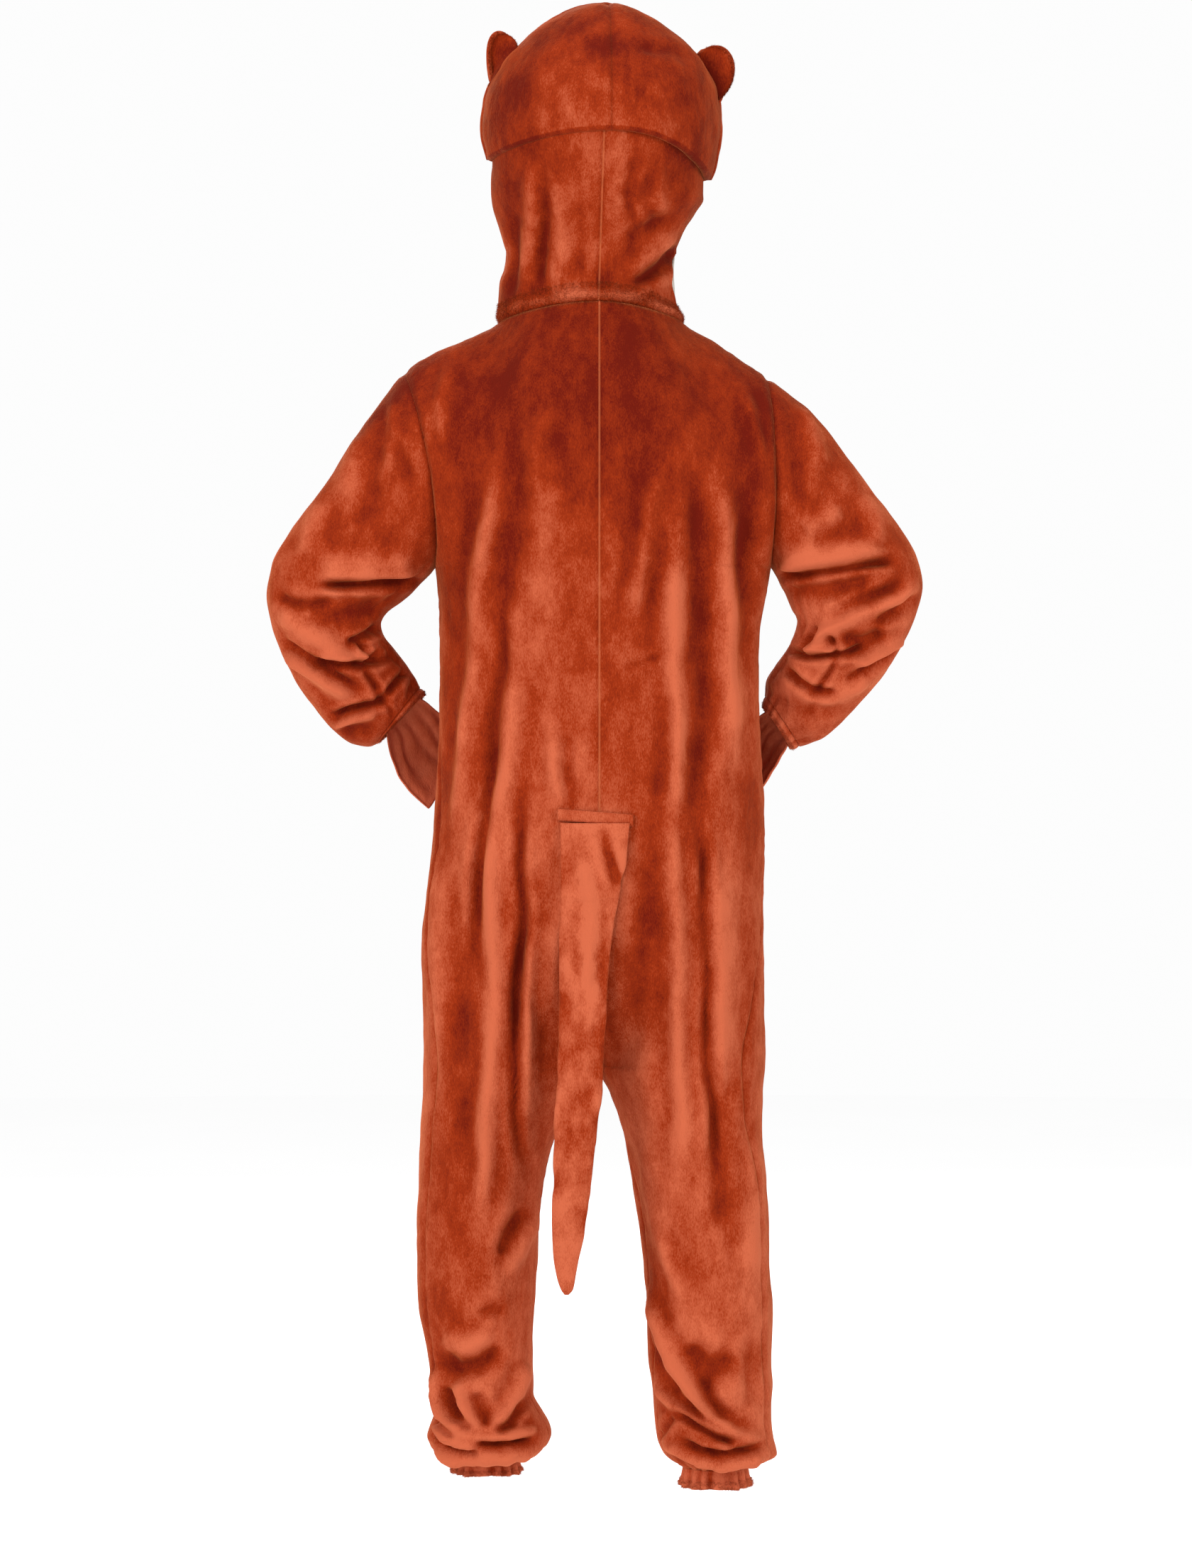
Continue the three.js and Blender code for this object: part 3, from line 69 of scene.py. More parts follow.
BODY_SECTIONS = table(
    "z left right back front",
    (-307, 196, 205, 122, 118),
    (-391, 190, 192, 116, 123),
    (-476, 190, 190, 112, 126),
    (-560, 193, 194, 117, 126),
    (-640, 199, 197, 122, 122),
    (-700, 207, 196, 122, 118),
    (-782, 215, 196, 118, 114),
    (-850, 212, 198, 112, 110),
    (-901, 209, 199, 106, 107),
)
LEG_SECTIONS = {
    "left": table(
        "z outer inner back front",
        (-700, 207, 0, 114, 110),
        (-901, 209, 0, 99, 100),
        (-935, 209, 20, 97, 98),
        (-986, 213, 50, 93, 95),
        (-1037, 215, 63, 90, 93),
        (-1088, 218, 70, 87, 88),
        (-1139, 218, 73, 85, 84),
        (-1190, 216, 76, 83, 81),
        (-1241, 208, 79, 80, 78),
        (-1292, 202, 78, 78, 76),
        (-1317, 200, 66, 80, 77),
        (-1341, 207, 56, 82, 79),
        (-1356, 203, 62, 77, 74),
        (-1367, 187, 80, 63, 62),
        (-1372, 173, 97, 49, 49),
        (-1378, 171, 99, 47, 47),
        (-1394, 178, 92, 53, 53),
    ),
    "right": table(
        "z outer inner back front",
        (-700, 196, 0, 114, 110),
        (-901, 199, 0, 99, 100),
        (-935, 197, 14, 97, 98),
        (-986, 196, 29, 93, 95),
        (-1037, 200, 38, 90, 93),
        (-1088, 201, 46, 87, 88),
        (-1139, 202, 52, 85, 84),
        (-1190, 205, 56, 83, 81),
        (-1241, 205, 57, 80, 78),
        (-1292, 207, 64, 78, 76),
        (-1322, 206, 67, 80, 77),
        (-1347, 209, 70, 82, 79),
        (-1364, 213, 77, 77, 74),
        (-1375, 197, 88, 63, 62),
        (-1381, 178, 101, 49, 49),
        (-1387, 176, 103, 47, 47),
        (-1405, 184, 95, 53, 53),
    ),
}
HEM_TOP = {"left": -1372, "right": -1381}
HEM_BOTTOM = {"left": -1389, "right": -1405}
# How far the side seams and the inseams turn to the back, as a share of a half section
SEAM_TURNS = {
    "left": table(
        "z side inseam",
        (-307, 0, 0),
        (-450, 0.03, 0),
        (-560, 0.13, 0),
        (-700, 0.2, 0),
        (-901, 0.18, 0),
        (-1100, 0.17, 0.09),
        (-1410, 0.17, 0.09),
    ),
    "right": table(
        "z side inseam",
        (-307, 0, 0),
        (-560, 0.03, 0),
        (-700, 0.07, 0),
        (-830, 0.2, 0),
        (-901, 0.25, 0),
        (-1100, 0.18, 0.09),
        (-1410, 0.17, 0.09),
    ),
}
CENTRE_BACK = table("z y", (11, 75), (-30, 93), (-90, 113), (-180, 123), (-307, 122))
CENTRE_FRONT = table("z y", (-48, -80), (-100, -96), (-180, -113), (-240, -118), (-307, -118))
SHOULDER_BOW = 3
NECK_SHARE = 0.5
NECK_SECTIONS = table(
    "z left right back front",
    (-48, 124, 108, 82, 80),
    (-13, 120, 100, 77, 78),
    (11, 120, 91, 75, 80),
    (34, 117, 90, 76, 82),
    (51, 111, 89, 77, 84),
    (68, 110, 89, 80, 88),
    (85, 115, 95, 85, 92),
    (102, 120, 104, 92, 96),
    (119, 125, 116, 100, 100),
    (136, 129, 125, 107, 105),
    (161, 130, 125, 114, 110),
    (185, 129, 132, 119, 116),
    (216, 136, 136, 124, 121),
)
# Front edges of the neck pieces, in degrees forward (-) or back (+) of the side
NECK_FRONT_EDGES = table(
    "z left right",
    (-48, -8, -8),
    (-13, -7, -4),
    (9, -5, 4),
    (37, -4, 20),
    (60, -7, 8),
    (80, -16, -14),
    (102, -34, -34),
    (120, -46, -46),
    (150, -46, -46),
    (216, -42, -42),
)
CHIN_CORNER_Z = 120
CHIN_Z = 70
NECK_SEAM_SHIFT = {"top": 6, "bottom": -1}
CROWN = {"x": -2, "z": 221, "rise": 149, "back": 128, "front": 125}
CROWN_OUTLINE = table(
    "angle left right",
    (-30, 128, 124),
    (-14, 135, 138),
    (0, 142, 142),
    (15, 137, 140),
    (30, 118, 125),
    (40, 99, 106),
    (50, 81, 84),
    (60, 60, 61),
    (70, 40, 40),
    (80, 20, 20),
    (90, 0, 0),
)
CROWN_SEAM_BACK_Z = 208
CROWN_SEAM_SIDE_Z = {"left": 185, "right": 161.5}
CROWN_SEAM_SHIFT = -13
CROWN_SHIFT_POWER = 0.3
BROW_TURN_SIDE = 42
BROW_TURN_TOP = 60
EARS = {
    "left": {"top_lift": 39, "low_lift": 19, "height": 35, "lean": -6, "cup": 7, "skew": 0.5, "point": 1.25},
    "right": {"top_lift": 35, "low_lift": 11, "height": 33, "lean": 4, "cup": -2, "skew": 0.7, "point": 0.85},
}
EAR_TURN = 6
EAR_FAN = {"top": 29, "low": -15}
SLEEVE_SECTIONS = {
    "left": table(
        "outer_x outer_z inner_x inner_z middle depth",
        (234.6, -70.6, 196.2, -307, 0, 78),
        (273, -119, 213, -325, 2, 76),
        (305, -170, 227, -338, 4, 73),
        (339, -221, 238, -347, 6, 70),
        (368, -263, 247, -354, 8, 67),
        (391, -305, 254, -360, 9, 64),
        (397, -341, 259, -367, 9, 62),
        (390, -379, 261, -374, 6, 60),
        (375, -417, 260, -382, 2, 58),
        (357, -451, 257, -390, -4, 56),
        (337, -480, 251, -398, -10, 54),
        (317, -503, 243, -409, -16, 51),
        (296, -517, 232, -424, -21, 48),
        (279, -519, 222, -438, -25, 44),
        (269, -517, 216, -449, -27, 40),
        (260, -510, 210, -458, -29, 39),
    ),
    "right": table(
        "outer_x outer_z inner_x inner_z middle depth",
        (202.3, -76.5, 205.2, -307, 0, 78),
        (252, -119, 214, -321, 2, 76),
        (291, -170, 222, -336, 4, 73),
        (329, -221, 228, -349, 6, 70),
        (357, -257, 232, -358, 8, 67),
        (378, -293, 236, -364, 9, 64),
        (387, -327, 238, -371, 9, 62),
        (379, -363, 237, -378, 6, 60),
        (366, -395, 234, -386, 2, 58),
        (349, -425, 230, -395, -4, 56),
        (328, -451, 224, -405, -10, 54),
        (306, -477, 216, -416, -17, 51),
        (284, -497, 208, -428, -25, 48),
        (262, -513, 202, -442, -33, 44),
        (241, -519, 200, -459, -38, 38),
        (229, -521, 198, -474, -41, 37),
    ),
}
SLEEVE_END = 14
CUFF_END = 15
ARMHOLE_BOW = {"left": 13, "right": -7}
ARMHOLE_FRONT_BOW = 8
ARMHOLE_FLARE = 0.5
BOW_STATIONS = 3
PAW_FLAPS = {
    "left": {"low": (208, -66, -595), "high": (166, -112, -500), "bow": 14},
    "right": {"low": (192, -74, -578), "high": (158, -118, -506), "bow": 2},
}
PAW_BULGE = 12
PAW_START = 22
TAIL_SECTIONS = table(
    "z left right thick",
    (-611, 46, -36, 5),
    (-646, 47, -33, 11),
    (-685, 47, -27, 16),
    (-741, 48, -17, 19),
    (-826, 49, -10, 21),
    (-901, 50, -6, 22),
    (-985, 54, 3, 21),
    (-1034, 55, 9, 20),
    (-1084, 56, 15, 18),
    (-1112, 55, 21, 16),
    (-1139, 51, 27, 13),
    (-1158, 45, 31, 8),
    (-1164, 41, 36, 4),
)
TAIL_HANG_Y = 123
CASING = {"left": 49, "right": -40, "top_left": -594, "top_right": -601, "height": 14}

# Folds seen from behind: width, height (trough -), then the points (x, z) of its line
BACK_FOLDS = [
    (9, 9, (113, -183), (125, -233), (139, -296), (143, -362), (150, -440), (158, -518), (170, -640)),
    (15, -6, (86, -160), (94, -233), (106, -304), (113, -380)),
    (7, -8, (111, -320), (117, -421), (125, -499), (133, -600), (144, -678), (150, -790)),
    (10, 7, (98, -430), (106, -538), (116, -620)),
    (9, 10, (116, -590), (123, -660), (125, -751), (124, -824), (127, -897), (133, -970), (145, -1110)),
    (6, -11, (91, -560), (91, -678), (93, -740), (98, -806), (98, -879), (96, -952), (92, -999), (78, -1040)),
    (10, 5, (81, -740), (85, -879), (80, -970)),
    (14, -5, (160, -760), (166, -880), (160, -1000)),
    (12, 5, (188, -640), (192, -760), (186, -900)),
    (8, 4, (55, -480), (50, -540), (46, -590)),
    (7, -4, (31, -500), (34, -560), (36, -610)),
    (12, 5, (62, -120), (76, -170), (90, -230)),
    (8, 4, (176, -60), (186, -110), (184, -170)),
    (10, 8, (-72, -190), (-62, -257), (-54, -304), (-40, -380)),
    (9, 10, (-86, -290), (-88, -382), (-86, -460), (-90, -538), (-93, -620)),
    (10, 10, (-87, -570), (-87, -678), (-90, -769), (-94, -860), (-98, -933), (-98, -1060)),
    (11, -9, (-108, -170), (-113, -265), (-117, -343), (-121, -421), (-123, -499), (-118, -620)),
    (6, -10, (-117, -570), (-121, -678), (-127, -769), (-130, -842), (-134, -915), (-137, -1040)),
    (10, 8, (-138, -190), (-148, -284), (-152, -343), (-154, -440), (-156, -560)),
    (12, 5, (-142, -660), (-146, -806), (-150, -930)),
    (12, -5, (-176, -180), (-172, -300), (-176, -460)),
    (6, 5, (-168, -100), (-186, -150), (-198, -190)),
    (4, -3, (-26, -426), (-52, -420), (-80, -412)),
    (10, -6, (-146, -910), (-140, -1007), (-148, -1100)),
    (8, 6, (-46, -1020), (-62, -1080), (-80, -1130), (-104, -1180)),
    (10, -6, (-28, -980), (-52, -1060), (-66, -1110)),
    (12, 5, (-180, -960), (-186, -1060), (-176, -1160)),
    (13, 5, (20, -640), (52, -740), (64, -860)),
    (12, -4, (-56, -640), (-50, -760), (-42, -860)),
    (9, -8, (84, -1062), (104, -1094), (118, -1126)),
    (9, 6, (74, -1080), (92, -1120), (110, -1150)),
    (8, -6, (143, -1188), (128, -1182), (112, -1190)),
    (12, 6, (190, -1218), (158, -1232), (122, -1212)),
    (11, -11, (190, -1238), (166, -1257), (140, -1254), (112, -1232)),
    (6, 9, (202, -1255), (191, -1285), (178, -1314), (163, -1335), (134, -1344)),
    (6, -9, (182, -1276), (175, -1297), (162, -1324)),
    (5, 7, (165, -1268), (158, -1297), (146, -1320), (136, -1338)),
    (8, -9, (146, -1284), (139, -1308), (130, -1330)),
    (7, 10, (80, -1250), (93, -1282), (108, -1305), (128, -1334)),
    (6, -9, (88, -1290), (106, -1320), (124, -1338)),
    (6, 8, (130, -1338), (102, -1335), (68, -1330)),
    (4.5, -13, (152, -1349), (123, -1351), (99, -1349), (72, -1342)),
    (4.5, -12, (200, -1328), (184, -1348), (166, -1358), (136, -1363)),
    (6, 8, (196, -1322), (182, -1340), (164, -1348), (142, -1355)),
    (6, 8, (204, -1352), (169, -1366), (117, -1366), (76, -1362), (58, -1348)),
    (7, 11, (-46, -1150), (-71, -1215), (-91, -1256), (-112, -1288), (-129, -1311), (-158, -1332),
     (-202, -1344)),
    (15, -11, (-100, -1225), (-128, -1258), (-166, -1240)),
    (7, -8, (-120, -1262), (-129, -1290), (-150, -1318)),
    (7, -7, (-54, -1225), (-74, -1260), (-97, -1290)),
    (6, 9, (-60, -1276), (-85, -1296), (-115, -1318), (-156, -1342)),
    (4, -8, (-94, -1284), (-123, -1314), (-160, -1337)),
    (4.5, -13, (-86, -1302), (-112, -1321), (-141, -1337), (-168, -1347)),
    (5, -11, (-90, -1340), (-115, -1358), (-147, -1361), (-176, -1354), (-202, -1344)),
    (6, 8, (-68, -1342), (-103, -1365), (-135, -1373), (-176, -1367), (-206, -1358)),
    (4, -6, (-88, -1312), (-77, -1332), (-69, -1345)),
    (10, -5, (-186, -1210), (-178, -1270), (-186, -1310)),
]
FRONT_FOLDS = [
    (9, 8, (116, -190), (126, -260), (138, -340), (146, -460), (158, -560), (166, -660)),
    (12, -6, (92, -180), (100, -260), (112, -380), (120, -500), (134, -640)),
    (9, 7, (-90, -230), (-84, -330), (-90, -450), (-98, -600)),
    (10, 7, (-128, -190), (-140, -300), (-148, -420), (-150, -560)),
    (11, -7, (-108, -200), (-116, -330), (-122, -460), (-120, -640)),
    (10, 5, (56, -400), (50, -520), (60, -680)),
    (10, 5, (-54, -300), (-48, -420), (-56, -600)),
    (9, -5, (34, -700), (46, -800), (60, -900)),
    (9, -5, (-32, -710), (-46, -810), (-58, -900)),
    (10, 7, (112, -620), (122, -760), (126, -900), (134, -1060), (146, -1170)),
    (6, -8, (88, -620), (94, -780), (96, -900), (88, -1010)),
    (10, 7, (-92, -640), (-96, -780), (-102, -920), (-110, -1080), (-104, -1190)),
    (6, -8, (-120, -640), (-130, -800), (-138, -960), (-142, -1080)),
    (10, -5, (168, -760), (176, -900), (168, -1050)),
    (10, -5, (-164, -760), (-172, -900), (-164, -1050)),
    (11, -9, (108, -1205), (140, -1232), (176, -1216)),
    (11, -9, (-96, -1210), (-128, -1240), (-170, -1220)),
    (7, 9, (80, -1216), (104, -1268), (140, -1304), (198, -1322)),
    (7, 9, (-66, -1230), (-96, -1276), (-134, -1310), (-202, -1330)),
    (5, -11, (92, -1290), (128, -1322), (182, -1338)),
    (5, -11, (-84, -1296), (-122, -1328), (-184, -1346)),
    (6, 8, (196, -1270), (170, -1310), (128, -1340)),
    (6, 8, (-200, -1276), (-168, -1316), (-124, -1346)),
    (4.5, -11, (188, -1350), (130, -1356), (82, -1346)),
    (4.5, -11, (-192, -1356), (-132, -1362), (-84, -1350)),
    (6, 7, (202, -1356), (130, -1368), (64, -1354)),
    (6, 7, (-206, -1362), (-136, -1374), (-74, -1358)),
    (6, -3, (-60, -436), (-110, -420)),
]
SLEEVE_FOLDS = {
    "left": [
        (5, -15, (200, -325), (242, -330), (276, -331.5), (317, -331.5), (340, -333)),
        (14, 8, (218, -308), (276, -312), (330, -312)),
        (13, -8, (348, -357), (310, -368), (256, -358)),
        (6, -7, (388, -333), (365, -348), (341, -354), (314, -347)),
        (9, 9, (384, -356), (346, -388), (307, -412), (284, -420)),
        (4, -10, (303, -400), (283, -389), (263, -376), (252, -364)),
        (4, -8, (290, -392), (273, -413), (258, -400)),
        (5, 6, (296, -404), (282, -410), (270, -398)),
        (4.5, -12, (342, -422), (310, -424), (276, -420), (246, -408)),
        (6, 6, (334, -414), (304, -416), (270, -412)),
        (5, -10, (386, -388), (361, -408), (339, -423), (314, -437), (276, -454)),
        (8, 7, (378, -404), (352, -424), (322, -446), (286, -462)),
        (4, -8, (282, -424), (266, -447), (260, -468)),
        (4, -9, (262, -464), (249, -447), (230, -424)),
        (4.5, -11, (322, -488), (293, -476), (266, -466), (246, -460)),
        (6, 7, (322, -496), (294, -486), (264, -478)),
        (4, -8, (226, -438), (228, -467), (238, -494)),
        (8, -5, (312, -504), (290, -503), (266, -502)),
        (3, -5, (256, -466), (246, -484), (238, -500)),
        (6, 8, (244, -92), (242, -138), (229, -165), (212, -196), (206, -210)),
        (8, 5, (242, -134), (246, -178), (258, -214)),
        (7, -7, (238, -150), (224, -188), (216, -222)),
        (11, 5, (330, -230), (344, -270), (344, -300)),
        (12, -4, (262, -200), (272, -240), (296, -262)),
        (13, 5, (288, -140), (300, -190), (304, -230)),
    ],
    "right": [
        (5, -15, (200, -321), (238, -320), (279, -313), (316, -306), (356, -300)),
        (14, 8, (214, -304), (272, -298), (340, -286)),
        (13, -9, (214, -336), (272, -338), (330, -326)),
        (7, 11, (386, -318), (353, -345), (306, -365), (269, -382), (240, -408)),
        (8, -8, (366, -326), (323, -350), (268, -376)),
        (6, -7, (376, -332), (353, -359), (326, -382)),
        (4, -9, (236, -408), (252, -389), (262, -374)),
        (4, -11, (218, -402), (245, -411), (282, -411), (326, -409)),
        (5, 6, (240, -400), (266, -402), (284, -402)),
        (4, -7, (270, -384), (281, -403), (280, -412)),
        (10, -9, (284, -394), (313, -400), (344, -388)),
        (5, -10, (366, -401), (340, -416), (323, -427), (288, -446)),
        (7, 7, (370, -390), (338, -408), (300, -424)),
        (4.5, -11, (218, -422), (238, -440), (257, -452), (286, -454)),
        (4, -8, (283, -413), (269, -437), (256, -453)),
        (8, -7, (190, -447), (208, -461), (230, -465)),
        (9, 6, (254, -463), (289, -455), (324, -434)),
        (4, -8, (198, -478), (221, -501), (236, -509)),
        (10, -5, (216, -473), (238, -478), (262, -478)),
        (12, 6, (238, -106), (252, -144), (270, -194)),
        (12, 6, (240, -268), (262, -256), (290, -238)),
        (9, -5, (222, -130), (232, -190), (236, -240)),
        (11, 5, (318, -220), (332, -256), (330, -286)),
    ],
}
FOLD_FADE = 0.2
FOLD_SIDE_FADE = 52
FOLD_HEM_FADE = 9
FOLD_WANDER = 5
FOLD_WANDER_SIZE = (60, 60, 60)
FOLD_UNEVEN_SIZE = (45, 45, 45)
# A fold has a shallow opposite wave on both sides: its share of the height, and how far out it lies
FOLD_BESIDE = 0.35
FOLD_BESIDE_PLACE = 2.1
SEAM_DIP = 2.4
SEAM_WIDTH = 5.5
ARMHOLE_DIP = 3.2
CENTRE_DIP = 1.0
CENTRE_SEAM_WIDTH = 3
PANEL_WIDTH = {True: 290, False: 240}
YOKE_HEIGHT = 290
YOKE_ROWS = 64
YOKE_STEP = 0.004
# Where the neckline meets the shoulder seam the yoke's columns are smoothed sideways
EASE_REACH = 0.3
EASE_BAND = 0.2
EASE_PASSES = 60
HEM_GATHER_REACH = 48
GATHERS = {"hem": 15, "cuff": 13}
NOISE_CELLS = 32
NOISE = np.random.default_rng(11).uniform(-1, 1, (NOISE_CELLS,) * 3)


def mix(a, b, t):
    return a + (b - a) * t


def apart(grid, edge):
    """Straight distance of each point of a grid from its own point on an edge."""
    return np.linalg.norm(grid - edge, axis=-1)


def smooth(t):
    t = np.clip(t, 0, 1)
    return t * t * (3 - 2 * t)


def bump(distance, width):
    return np.exp(-((distance / width) ** 2))


def signed_power(value, power):
    return np.sign(value) * np.abs(value) ** power


def unit(vectors):
    return vectors / np.maximum(np.linalg.norm(vectors, axis=-1, keepdims=True), 1e-9)


def points(x, y, z):
    return np.stack(np.broadcast_arrays(x, y, z), axis=-1).astype(float)


def noise(place, size):
    """Soft seeded noise, about -1 to 1, with lumps of the given size in mm along x, y and z."""
    spot = place / np.array(size, float)
    cell = np.floor(spot).astype(int)
    t = smooth(spot - cell)
    total = np.zeros(place.shape[:-1])
    for corner in np.ndindex(2, 2, 2):
        share = np.ones(place.shape[:-1])
        for axis in range(3):
            share = share * (t[..., axis] if corner[axis] else 1 - t[..., axis])
        at = (cell + corner) % NOISE_CELLS
        total = total + share * NOISE[at[..., 0], at[..., 1], at[..., 2]]
    return total


def curve_of(columns, key, name):
    """A smooth curve through one column of a table, without overshoot."""
    order = np.argsort(columns[key])
    at = columns[key][order]
    value = columns[name][order]
    pace = np.diff(value) / np.diff(at)
    together = pace[:-1] * pace[1:] > 0
    total = np.where(together, pace[:-1] + pace[1:], 1)
    inner = np.where(together, 2 * pace[:-1] * pace[1:] / total, 0)
    slope = np.concatenate([pace[:1], inner, pace[-1:]])

    def curve(x):
        x = np.clip(x, at[0], at[-1])
        i = np.clip(np.searchsorted(at, x) - 1, 0, len(at) - 2)
        span = at[i + 1] - at[i]
        t = (x - at[i]) / span
        start = (2 * t**3 - 3 * t**2 + 1) * value[i] + (t**3 - 2 * t**2 + t) * span * slope[i]
        end = (3 * t**2 - 2 * t**3) * value[i + 1] + (t**3 - t**2) * span * slope[i + 1]
        return start + end

    return curve


def curves_of(columns, key):
    """Curves through all the other columns of a table."""
    return {name: curve_of(columns, key, name) for name in columns if name != key}


class Side:
    """One half of the garment, with its curves."""

    def __init__(self, name, sign):
        self.name = name
        self.sign = sign
        self.width = curve_of(BODY_SECTIONS, "z", name)
        self.leg = curves_of(LEG_SECTIONS[name], "z")
        self.turn = curves_of(SEAM_TURNS[name], "z")
        self.neck_width = curve_of(NECK_SECTIONS, "z", name)
        self.neck_edge = curve_of(NECK_FRONT_EDGES, "z", name)
        self.crown_width = curve_of(CROWN_OUTLINE, "angle", name)
        stations = np.arange(len(SLEEVE_SECTIONS[name]["depth"]), dtype=float)
        self.sleeve = curves_of({**SLEEVE_SECTIONS[name], "station": stations}, "station")
        self.hem_top = HEM_TOP[name]
        self.hem_bottom = HEM_BOTTOM[name]


SIDES = [Side("left", 1), Side("right", -1)]
body_back = curve_of(BODY_SECTIONS, "z", "back")
body_front = curve_of(BODY_SECTIONS, "z", "front")
centre_back = curve_of(CENTRE_BACK, "z", "y")
centre_front = curve_of(CENTRE_FRONT, "z", "y")
neck_back = curve_of(NECK_SECTIONS, "z", "back")
neck_front = curve_of(NECK_SECTIONS, "z", "front")


def body_point(side, share, z):
    """The body at one height: share 1 is the centre back or the inseam, 0 the side and -1 the
    centre front. Below the seat each half closes into a leg."""
    share, z = np.broadcast_arrays(np.asarray(share, float), np.asarray(z, float))
    quarter = (1 - np.abs(share)) * np.pi / 2
    trunk_x = side.width(z) * signed_power(np.sin(quarter), BODY_POWER)
    depth = np.where(share >= 0, body_back(z), -body_front(z))
    trunk_y = depth * signed_power(np.cos(quarter), BODY_POWER)
    outer = side.leg["outer"](z)
    inner = side.leg["inner"](z)
    sine = np.sin(np.pi * share)
    leg_x = (outer + inner) / 2 + (outer - inner) / 2 * signed_power(np.cos(np.pi * share), LEG_POWER)
    leg_depth = np.where(sine >= 0, side.leg["back"](z), side.leg["front"](z))
    leg_y = leg_depth * signed_power(sine, LEG_POWER)
    fall = np.clip((SEAT_Z - z) / (SEAT_Z - CROTCH_Z), 0, 1)
    rounded = 1 - np.sqrt(1 - fall * fall)
    inward = smooth((np.abs(share) - LEG_START_SHARE) / (1 - LEG_START_SHARE))
    parted = mix(smooth(fall), rounded, inward)
    return points(mix(trunk_x, leg_x, parted), mix(trunk_y, leg_y, parted), z)


def body_normal(side, share, z):
    across = body_point(side, share - 0.01, z) - body_point(side, share + 0.01, z)
    down = body_point(side, share, z - 1) - body_point(side, share, z + 1)
    return unit(np.cross(across, down))


def sleeve_point(side, station, degrees):
    """A sleeve's section: 0 degrees is the outer edge, 90 the back, 180 the inner edge."""
    station, degrees = np.broadcast_arrays(np.asarray(station, float), np.asarray(degrees, float))
    curves = side.sleeve
    cosine = signed_power(np.cos(np.radians(degrees)), SLEEVE_POWER)
    sine = np.sin(np.radians(degrees))
    share = (1 - cosine) / 2
    bow = ARMHOLE_BOW[side.name] + np.where(sine < 0, ARMHOLE_FRONT_BOW, 0)
    bowed = bow * sine * sine * (1 - smooth(station / BOW_STATIONS))
    x = mix(curves["outer_x"](station), curves["inner_x"](station), share) - bowed
    z = mix(curves["outer_z"](station), curves["inner_z"](station), share)
    y = curves["middle"](station) + curves["depth"](station) * signed_power(sine, SLEEVE_POWER)
    return points(x, y, z)


def sleeve_axis(side, station):
    curves = side.sleeve
    x = curves["inner_x"](station) - curves["outer_x"](station)
    z = curves["inner_z"](station) - curves["outer_z"](station)
    return unit(points(-z, 0, x))


def flattened(normal, axis):
    return unit(normal - axis * np.sum(normal * axis, axis=-1, keepdims=True))


def armhole_normal(degrees):
    degrees = np.asarray(degrees, float)
    return unit(points(ARMHOLE_FLARE, np.sin(np.radians(degrees)), np.cos(np.radians(degrees))))


def neck_point(side, degrees, z):
    """The neck: 90 degrees is the centre back, 0 the side and -90 the centre front."""
    degrees, z = np.broadcast_arrays(np.asarray(degrees, float), np.asarray(z, float))
    sine = np.sin(np.radians(degrees))
    y = np.where(sine >= 0, neck_back(z), neck_front(z)) * sine
    return points(side.neck_width(z) * np.cos(np.radians(degrees)), y, z)


def neckline_z(degrees):
    sine = np.sin(np.radians(degrees))
    return NECK_SIDE_Z + np.where(sine > 0, NECK_RISE_BACK, -NECK_DROP_FRONT) * sine * sine


def yoke_point(side, back, across, down):
    """The patch between neckline and shoulder seam, centre line, armhole and underarm line."""
    facing = 1 if back else -1
    across, down = np.broadcast_arrays(np.asarray(across, float), np.asarray(down, float))

    def top(t):
        degrees = facing * 90 * (1 - np.minimum(t / NECK_SHARE, 1))
        neckline = neck_point(side, degrees, neckline_z(degrees))
        along = np.clip((t - NECK_SHARE) / (1 - NECK_SHARE), 0, 1)[..., None]
        start = neck_point(side, 0, NECK_SIDE_Z)
        end = sleeve_point(side, 0, 0)
        bow = SHOULDER_BOW * np.sin(np.pi * along) * np.array([0, 0, 1])
        return np.where(t[..., None] <= NECK_SHARE, neckline, mix(start, end, along) + bow)

    def centre(v):
        z = mix(neckline_z(facing * 90), UNDERARM_Z, v)
        return points(0, centre_back(z) if back else centre_front(z), z)

    def bottom(t):
        return body_point(side, facing * (1 - t), UNDERARM_Z)

    def armhole(v):
        return sleeve_point(side, 0, facing * 180 * v)

    zero = np.zeros(1)
    one = np.ones(1)
    a = across[..., None]
    d = down[..., None]
    result = top(across) * (1 - d) + bottom(across) * d + centre(down) * (1 - a) + armhole(down) * a
    result = result - top(zero) * (1 - a) * (1 - d) - top(one) * a * (1 - d)
    return result - bottom(zero) * (1 - a) * d - bottom(one) * a * d


def grid_normals(grid, facing=1, ring=False):
    """Outward normals of a grid of points; facing is 1 where across x down points outwards."""
    across = np.roll(grid, -1, 1) - np.roll(grid, 1, 1) if ring else np.gradient(grid, axis=1)
    return unit(np.cross(across, np.gradient(grid, axis=0)) * facing)


